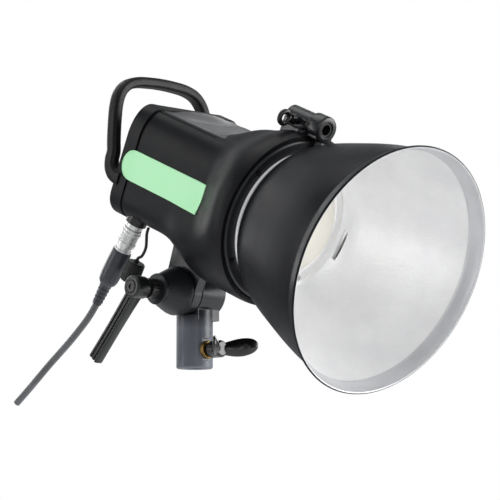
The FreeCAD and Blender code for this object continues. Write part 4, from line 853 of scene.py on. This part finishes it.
# Profiles are (distance along the plug axis, radius).
def boot_profile():
    """Boot body, five shrinking ribs of strain relief, then the bore."""
    points = [(28.2, 6.86), (28.2, 6.9), (28.5, 7.35), (29.2, 7.65), (31.0, 7.8),
              (40.0, 8.0), (50.0, 7.95), (54.5, 7.6), (57.0, 6.9), (58.4, 5.9), (59.2, 5.0)]
    for i in range(5):
        start, crest, root = 59.6 + i * 3.5, 0.2 * i, 4.0 - i * 0.12
        points += [(start + 0.2, 4.75 - crest), (start + 1.1, 4.8 - crest),
                   (start + 2.0, 4.7 - crest), (start + 2.2, root), (start + 3.2, root)]
    bore = LEAD_RADIUS + 0.03
    return points + [(77.3, 3.6), (77.5, 3.3), (77.5, bore), (40.0, bore), (33.2, bore),
                     (33.2, 6.86)]


def sleeve_profile():
    """Locking sleeve: a collar at each end and nine grip ridges between."""
    bore = 5.78
    points = [(8.4, bore), (8.4, 6.9), (8.7, 7.15), (10.6, 7.15), (10.75, 7.5),
              (10.95, 7.6), (12.5, 7.6), (12.7, 7.5), (12.85, 7.05)]
    for i in range(9):
        start = 13.0 + i * 0.75
        points += [(start, 6.92), (start + 0.2, 7.1), (start + 0.5, 7.1), (start + 0.7, 6.92)]
    return points + [(19.8, 7.05), (19.95, 7.5), (20.1, 7.6), (21.3, 7.6), (21.45, 7.5),
                     (21.6, 7.1), (23.3, 7.1), (23.6, 6.85), (23.6, bore)]


PLUG_PROFILE = [(-4.0, 5.6), (-4.0, 6.5), (-3.7, 6.8), (7.4, 6.8), (7.7, 6.5), (8.0, 5.7),
                (27.0, 5.7), (27.0, 6.6), (27.3, 6.8), (33.0, 6.8), (33.0, 0.0), (3.0, 0.0),
                (3.0, 5.6)]
# name, profile, segments, material, sharp angle, body, slot, CAD piece replaced
PLUG_PIECES = (
    ("boot_moulding", boot_profile(), 64, "boot_rubber", 40.0,
     "plug", "boot_rubber", "plug_boot"),
    ("plug_barrel", PLUG_PROFILE, 72, "plug_satin", 30.0,
     "plug", "bright_metal", "power_plug"),
    ("locking_sleeve", sleeve_profile(), 72, "plug_satin", 30.0,
     "sleeve", "bright_metal", "plug_sleeve"),
)
for name, profile, segments, material, sharp, body, slot, replaced in PLUG_PIECES:
    turned_piece = lathe(name, profile, PLUG_ORIGIN, PLUG_AXIS, segments, [material], sharp)
    register(turned_piece, body, slot, replaces=replaced)

# ------------------------------------------------------------------ carrying handle
HANDLE_SLOPE = 0.48            # backward run of the hoop's plane per mm of height
HANDLE_FORWARD = -38.4         # where that plane meets the pivot's height
HOOP_STATIONS = (              # (side, up) from the crown down the +side limb
    (0.0, 136.6), (13.0, 136.2), (26.0, 135.0), (36.5, 131.7), (43.5, 125.4),
    (47.3, 116.4), (49.2, 104.0), (50.2, 92.0), (50.5, 84.0),
)
FOOT_STATIONS = [              # (forward, side, up), turning forward below the hoop
    (-78.0, 50.5, 77.5), (-75.8, 50.3, 72.0), (-71.8, 49.9, 68.2), (-66.5, 49.4, 66.6),
    (-62.5, 49.2, 66.4),
]
GRIP_HALF = (5.2, 4.25)        # half sizes of the section
GRIP_POWER = 3.4               # superellipse exponent
HANDLE_SIDES = 40


def carrying_handle():
    limb = [(HANDLE_FORWARD - HANDLE_SLOPE * up, side, up) for side, up in HOOP_STATIONS]
    limb += FOOT_STATIONS
    mirrored = [(forward, -side, up) for forward, side, up in limb[:0:-1]]
    stations = catmull(mirrored + limb, steps=7)

    def section(i, angle):
        """Rounded rectangle, swelling by a tenth below the hoop."""
        swell = 1.0 + 0.10 * min(max((84.0 - stations[i][2]) / 16.0, 0.0), 1.0)
        x, y = math.cos(angle), math.sin(angle)
        reach = 1.0 / ((abs(x) ** GRIP_POWER + abs(y) ** GRIP_POWER) ** (1 / GRIP_POWER))
        return GRIP_HALF[0] * reach * x * swell, GRIP_HALF[1] * reach * y * swell

    lean = math.atan(HANDLE_SLOPE)
    handle = tube("carrying_handle", [head(*p) for p in stations], section, HANDLE_SIDES,
                  "handle_black", start=len(stations) // 2,
                  normal=head_dir(math.cos(lean), 0, math.sin(lean)))
    register(handle, "head", "handle_plastic", replaces="handle")


carrying_handle()

# ------------------------------------------------------------------ clamp lever
LEVER_ANGLE = math.radians(43)         # from straight down towards +Y
LEVER_ALONG = Vector((0, math.sin(LEVER_ANGLE), -math.cos(LEVER_ANGLE)))
LEVER_ACROSS = Vector((0, LEVER_ALONG.z, -LEVER_ALONG.y))
# distance from the pivot, half width, x of the outer face, x of the inner face, corner
LEVER_STATIONS = (
    (6.0, 5.2, -63.0, -54.6, 1.0),
    (9.0, 5.1, -63.2, -54.8, 1.0),
    (20.0, 4.85, -62.9, -54.9, 1.0),
    (40.0, 4.7, -62.4, -55.0, 1.0),
    (60.0, 4.85, -62.2, -55.0, 1.0),
    (69.6, 5.0, -62.2, -55.0, 1.0),
    (70.6, 4.8, -62.0, -55.2, 1.0),
    (71.0, 4.3, -61.5, -55.7, 0.9),
)
GROOVE_DEPTH = 1.1


def lever_ring(distance, half, outer, inner, corner):
    """Section of the bar; its outer face carries a ridge between two grooves."""
    floor_x, shoulder, nick = outer + GROOVE_DEPTH, half - corner, corner * 0.3
    points = (
        (outer, -0.45), (outer, 0.45), (outer + 0.05, 0.75), (floor_x, 1.0),
        (floor_x, half * 0.5), (outer + 0.1, half * 0.58), (outer, shoulder),
        (outer + nick, half - nick), (outer + corner, half),
        (inner - corner, half), (inner - nick, half - nick), (inner, shoulder),
        (inner, -shoulder), (inner - nick, -(half - nick)), (inner - corner, -half),
        (outer + corner, -half), (outer + nick, -(half - nick)), (outer, -shoulder),
        (outer + 0.1, -half * 0.58), (floor_x, -half * 0.5), (floor_x, -1.0),
        (outer + 0.05, -0.75),
    )
    return [PIVOT + LEVER_ALONG * (distance / 1000.0) + LEVER_ACROSS * (y / 1000.0)
            + Vector((x / 1000.0, 0, 0)) for x, y in points]


bar = loft("lever_bar", [lever_ring(*station) for station in LEVER_STATIONS],
           "lever_black", sharp=28.0)
register(bar, "lever", "lever_plastic")

# (distance towards -X, radius)
BOSS_PROFILE = [(53.4, 5.4), (53.4, 7.6), (53.8, 8.2), (54.6, 8.5), (64.6, 8.5), (65.6, 8.2),
                (66.2, 7.6), (66.4, 6.8), (66.4, 5.1), (59.0, 5.1), (59.0, 2.35),
                (57.0, 2.35), (57.0, 5.4)]
boss = lathe("lever_boss", BOSS_PROFILE, PIVOT, (-1, 0, 0), 64, ["lever_black"])
register(boss, "lever", "lever_plastic", replaces="clamp_lever")

# ------------------------------------------------------------------ diffusing dome
DOME_BASE, DOME_HEIGHT, DOME_RADIUS, DOME_WALL = 67.2, 31.0, 43.2, 2.2


def dome_arc(inset, angles):
    """Quarter-ellipse points (forward, radius) at angles in degrees."""
    return [(DOME_BASE + (DOME_HEIGHT - inset) * math.sin(math.radians(t)),
             (DOME_RADIUS - inset) * math.cos(math.radians(t))) for t in angles]


dome_profile = [(DOME_BASE, DOME_RADIUS)] + dome_arc(0.0, range(4, 90, 4))
dome_profile += [(DOME_BASE + DOME_HEIGHT, 0.0), (DOME_BASE + DOME_HEIGHT - DOME_WALL, 0.0)]
dome_profile += dome_arc(DOME_WALL, range(86, 0, -4)) + [(DOME_BASE, DOME_RADIUS - DOME_WALL)]
dome = lathe("diffusing_dome", dome_profile, LAMP_ORIGIN, LAMP_AXIS, 128, ["frosted_dome"],
             sharp=60.0)
register(dome, "head", "frosted_glass", replaces="glass_dome")


# ------------------------------------------------------------------ printed shapes
# Flat shapes are (side, up) polygons.
PRINT_THICK = 0.04


def plate(name, polygons, base, material, body, slot, thickness=PRINT_THICK):
    """Thin prisms standing backwards from forward position `base`."""
    verts, faces = [], []
    for polygon in polygons:
        n, k = len(polygon), len(verts)
        for forward in (base, base - thickness):
            verts += [head(forward, side, up) for side, up in polygon]
        faces.append(list(range(k, k + n)))
        faces.append(list(range(k + n, k + 2 * n))[::-1])
        for i in range(n):
            j = (i + 1) % n
            faces.append([k + i, k + j, k + n + j, k + n + i])
    register(make_mesh(name, verts, faces, [material], sharp=30.0), body, slot)


def rect(side0, up0, side1, up1):
    return [(side0, up0), (side1, up0), (side1, up1), (side0, up1)]


def circle(side, up, radius, n):
    return [(side + radius * math.cos(2 * math.pi * k / n),
             up + radius * math.sin(2 * math.pi * k / n)) for k in range(n)]


def arc_band(side, up, inner, outer, start, end, n):
    """Ring sector between two angles in degrees, as n quads."""
    quads = []
    for k in range(n):
        t0 = math.radians(start + (end - start) * k / n)
        t1 = math.radians(start + (end - start) * (k + 1) / n)
        quads.append([(side + r * math.cos(t), up + r * math.sin(t))
                      for r, t in ((inner, t0), (outer, t0), (outer, t1), (inner, t1))])
    return quads


def spoke_bar(side, up, angle, inner, outer, half):
    """Radial bar between two radii about a centre."""
    x, y = math.cos(angle), math.sin(angle)
    return [(side + r * x - w * y, up + r * y + w * x)
            for r, w in ((inner, half), (inner, -half), (outer, -half), (outer, half))]


# ------------------------------------------------------------------ display
WINDOW = (-30.0, 93.0, 14.0, 114.0)    # side, up, side, up
FIELD_INSET = (2.6, 2.4)
FIELD_BASE = -63.42
DIGIT_SIZE = (6.4, 12.0)
DIGIT_STROKE, DIGIT_GAP, DIGIT_SLANT = 1.5, 0.12, 0.09
DIGIT_UP = 98.2
DIGIT_SEGMENTS = {"0": "abcdef", "5": "afgcd"}


def digit(figure, side0):
    """Seven-segment figure as pointed bars, from its lower corner at side0."""
    (w, h), half, g = DIGIT_SIZE, DIGIT_STROKE / 2, DIGIT_GAP

    def level(y, x0, x1):
        return [(x0, y), (x0 + half, y + half), (x1 - half, y + half), (x1, y),
                (x1 - half, y - half), (x0 + half, y - half)]

    def upright(x, y0, y1):
        return [(x, y0), (x + half, y0 + half), (x + half, y1 - half), (x, y1),
                (x - half, y1 - half), (x - half, y0 + half)]

    bars = {
        "a": level(h, g, w - g), "g": level(h / 2, g, w - g), "d": level(0, g, w - g),
        "f": upright(0, h / 2 + g, h - g), "b": upright(w, h / 2 + g, h - g),
        "e": upright(0, g, h / 2 - g), "c": upright(w, g, h / 2 - g),
    }
    return [[(side0 + x + DIGIT_SLANT * y, DIGIT_UP + y) for x, y in bars[key]]
            for key in DIGIT_SEGMENTS[figure]]


field = rect(WINDOW[0] + FIELD_INSET[0], WINDOW[1] + FIELD_INSET[1],
             WINDOW[2] - FIELD_INSET[0], WINDOW[3] - FIELD_INSET[1])
plate("display_field", [field], FIELD_BASE, "display_face", "head", "lcd_glass")

figures = digit("5", -22.5) + [circle(-12.4, 98.3, 0.9, 14)] + digit("0", -9.6)
# seven bars of rising height
figures += [rect(1.6 + i * 1.25, 98.0, 2.5 + i * 1.25, 99.6 + i * 1.5) for i in range(7)]
plate("display_figures", figures, FIELD_BASE - PRINT_THICK, "display_segments", "head",
      "lcd_glass")

# ------------------------------------------------------------------ key marks
KEY_FIRST, KEY_PITCH, KEY_UP, KEY_FACE = -26.0, 16.0, 80.0, -65.2
SUN = [circle(0, 0, 0.8, 16)]
SUN += [spoke_bar(0, 0, 2 * math.pi * k / 8, 1.15, 1.8, 0.14) for k in range(8)]
BOLT = [[(0.5, 2.0), (-1.3, -0.3), (-0.1, -0.3), (-0.5, -2.0), (1.3, 0.3), (0.1, 0.3)]]
SQUARE = [rect(-1.4, -1.4, 1.4, -1.05), rect(-1.4, 1.05, 1.4, 1.4),
          rect(-1.4, -1.05, -1.05, 1.05), rect(1.05, -1.05, 1.4, 1.05)]
BARS = [rect(-1.6, 0.9, 1.6, 1.3), rect(-1.6, -0.2, 1.6, 0.2), rect(-1.6, -1.3, 1.6, -0.9)]
for i, (key, mark) in enumerate((("model", SUN), ("test", BOLT), ("set", SQUARE),
                                 ("mode", BARS))):
    centre = KEY_FIRST + KEY_PITCH * i
    plate("key_mark_" + key, [[(centre + x, KEY_UP + y) for x, y in shape] for shape in mark],
          KEY_FACE, "print_white", "btn_" + key, "button_grey")

# ------------------------------------------------------------------ panel print and dial
DIAL_SIDE, DIAL_UP = 31, 100
# eleven ticks round the dial, every fifth one longer
panel_print = [spoke_bar(DIAL_SIDE, DIAL_UP, math.radians(225 - 27 * k), 10.4,
                         12.0 if k % 5 == 0 else 11.4, 0.22) for k in range(11)]
# two arcs, a short upright stroke and a small ring low on the panel
panel_print += arc_band(-6.0, 58.0, 7.2, 7.55, 20, 160, 14)
panel_print += arc_band(-28.0, 58.0, 6.6, 6.95, 20, 160, 14)
panel_print += [rect(14.0, 51.2, 14.5, 53.2)]
panel_print += arc_band(38.2, 52.2, 0.75, 1.15, 0, 360, 20)
plate("panel_print", panel_print, -62.95, "print_white", "head", "panel_plastic")
pointer = rect(DIAL_SIDE - 0.4, DIAL_UP + 3.0, DIAL_SIDE + 0.4, DIAL_UP + 7.4)
plate("dial_pointer", [pointer], -71.0, "print_white", "dial", "rubber_grip",
      thickness=0.56)

# ------------------------------------------------------------------ floor (metres from here)
FLOOR_HALF, FLOOR_Z = 30, -0.62


def build_floor():
    """Pale floor that looks brighter to the camera than it lights the product."""
    corners = ((-1, -1), (1, -1), (1, 1), (-1, 1))
    mesh = bpy.data.meshes.new("floor")
    mesh.from_pydata([(x * FLOOR_HALF, y * FLOOR_HALF, FLOOR_Z) for x, y in corners], [],
                     [(0, 1, 2, 3)])
    floor = bpy.data.objects.new("floor", mesh)
    bpy.context.scene.collection.objects.link(floor)
    sh = Shader("floor_pale")
    patches = sh.ramp(sh.noise(scale=3.0, detail=3), over=(0.3, 0.7))
    seen = sh.node("ShaderNodeLightPath").outputs["Is Camera Ray"]
    sh.surface({
        "Base Color": sh.mix(patches, (0.86, 0.86, 0.86, 1), (0.90, 0.90, 0.90, 1)),
        "Roughness": 0.7,
        "Emission Color": (1.0, 1.0, 1.0, 1.0),
        "Emission Strength": sh.math("MULTIPLY", seen, 0.42),
    })
    mesh.materials.append(sh.material)
    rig.stage(floor)


def build_world():
    """White to the camera, a dim cool fill to everything else."""
    studio = bpy.data.worlds.new("studio")
    bpy.context.scene.world = studio
    studio.use_nodes = True
    tree = studio.node_tree
    tree.nodes.clear()
    output = tree.nodes.new("ShaderNodeOutputWorld")
    fill = tree.nodes.new("ShaderNodeBackground")
    backdrop = tree.nodes.new("ShaderNodeBackground")
    path = tree.nodes.new("ShaderNodeLightPath")
    blend = tree.nodes.new("ShaderNodeMixShader")
    for node, colour, strength in ((fill, (0.95, 0.97, 1.0, 1), 0.34),
                                   (backdrop, (1, 1, 1, 1), 1.0)):
        node.inputs[0].default_value = colour
        node.inputs[1].default_value = strength
    tree.links.new(path.outputs["Is Camera Ray"], blend.inputs[0])
    tree.links.new(fill.outputs[0], blend.inputs[1])
    tree.links.new(backdrop.outputs[0], blend.inputs[2])
    tree.links.new(blend.outputs[0], output.inputs[0])


# ------------------------------------------------------------------ lights and camera
LIT_POINT = Vector((-0.01, -0.06, 0.10))       # every light aims here
# ground directions as the camera sees them
AHEAD = Vector((0.6975, 0.7166, 0))
RIGHT = Vector((AHEAD.y, -AHEAD.x, 0))
UP = Vector((0, 0, 1))
# name, offset from the lit point (right, ahead, up), size, power in watts
LIGHTS = (
    ("mouth_light", (1.85, -0.05, 0.22), (1.3, 1.2), 32),
    ("key_left", (-1.7, -0.15, 0.35), (0.35, 1.5), 8),
    ("front_low", (0.7, -1.7, -0.05), (1.2, 0.9), 5),
    ("top_soft", (-0.2, 0.0, 1.6), (1.2, 1.2), 8),
    ("rear_left", (-0.9, 1.2, 0.6), (1.0, 1.0), 9),
    ("rear_right", (0.8, 1.4, 0.7), (1.0, 1.0), 8),
)
CAMERA_PLACE = (-1.388, -1.440, -0.144)
# sight line: sideways and upward run per unit ahead
SIGHT_RIGHT, SIGHT_UP = 0.01633706, 0.1177988


def aim(obj, direction):
    """Turn an object's -Z along a direction."""
    obj.rotation_euler = direction.to_track_quat("-Z", "Y").to_euler()


def area_light(name, offset, size, power):
    light = bpy.data.lights.new(name, "AREA")
    light.shape = "RECTANGLE"
    light.size, light.size_y = size
    light.energy = power
    obj = bpy.data.objects.new(name, light)
    bpy.context.scene.collection.objects.link(obj)
    right, ahead, up = offset
    place = LIT_POINT + RIGHT * right + AHEAD * ahead + UP * up
    obj.location = place
    aim(obj, LIT_POINT - place)


def build_camera():
    camera = bpy.data.cameras.new("camera")
    camera.sensor_width = 36.0     # mm
    camera.lens = 188.4            # mm
    camera.clip_start = 0.05
    obj = bpy.data.objects.new("camera", camera)
    bpy.context.scene.collection.objects.link(obj)
    obj.location = CAMERA_PLACE
    aim(obj, AHEAD + RIGHT * SIGHT_RIGHT + UP * SIGHT_UP)
    bpy.context.scene.camera = obj


build_floor()
build_world()
for light_row in LIGHTS:
    area_light(*light_row)
build_camera()
bpy.context.scene.view_settings.view_transform = "Standard"

json.dump({"cad": CAD_BOX, "visual": [list(map(float, v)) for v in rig.bounds()]}, open("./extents.json", "w"))
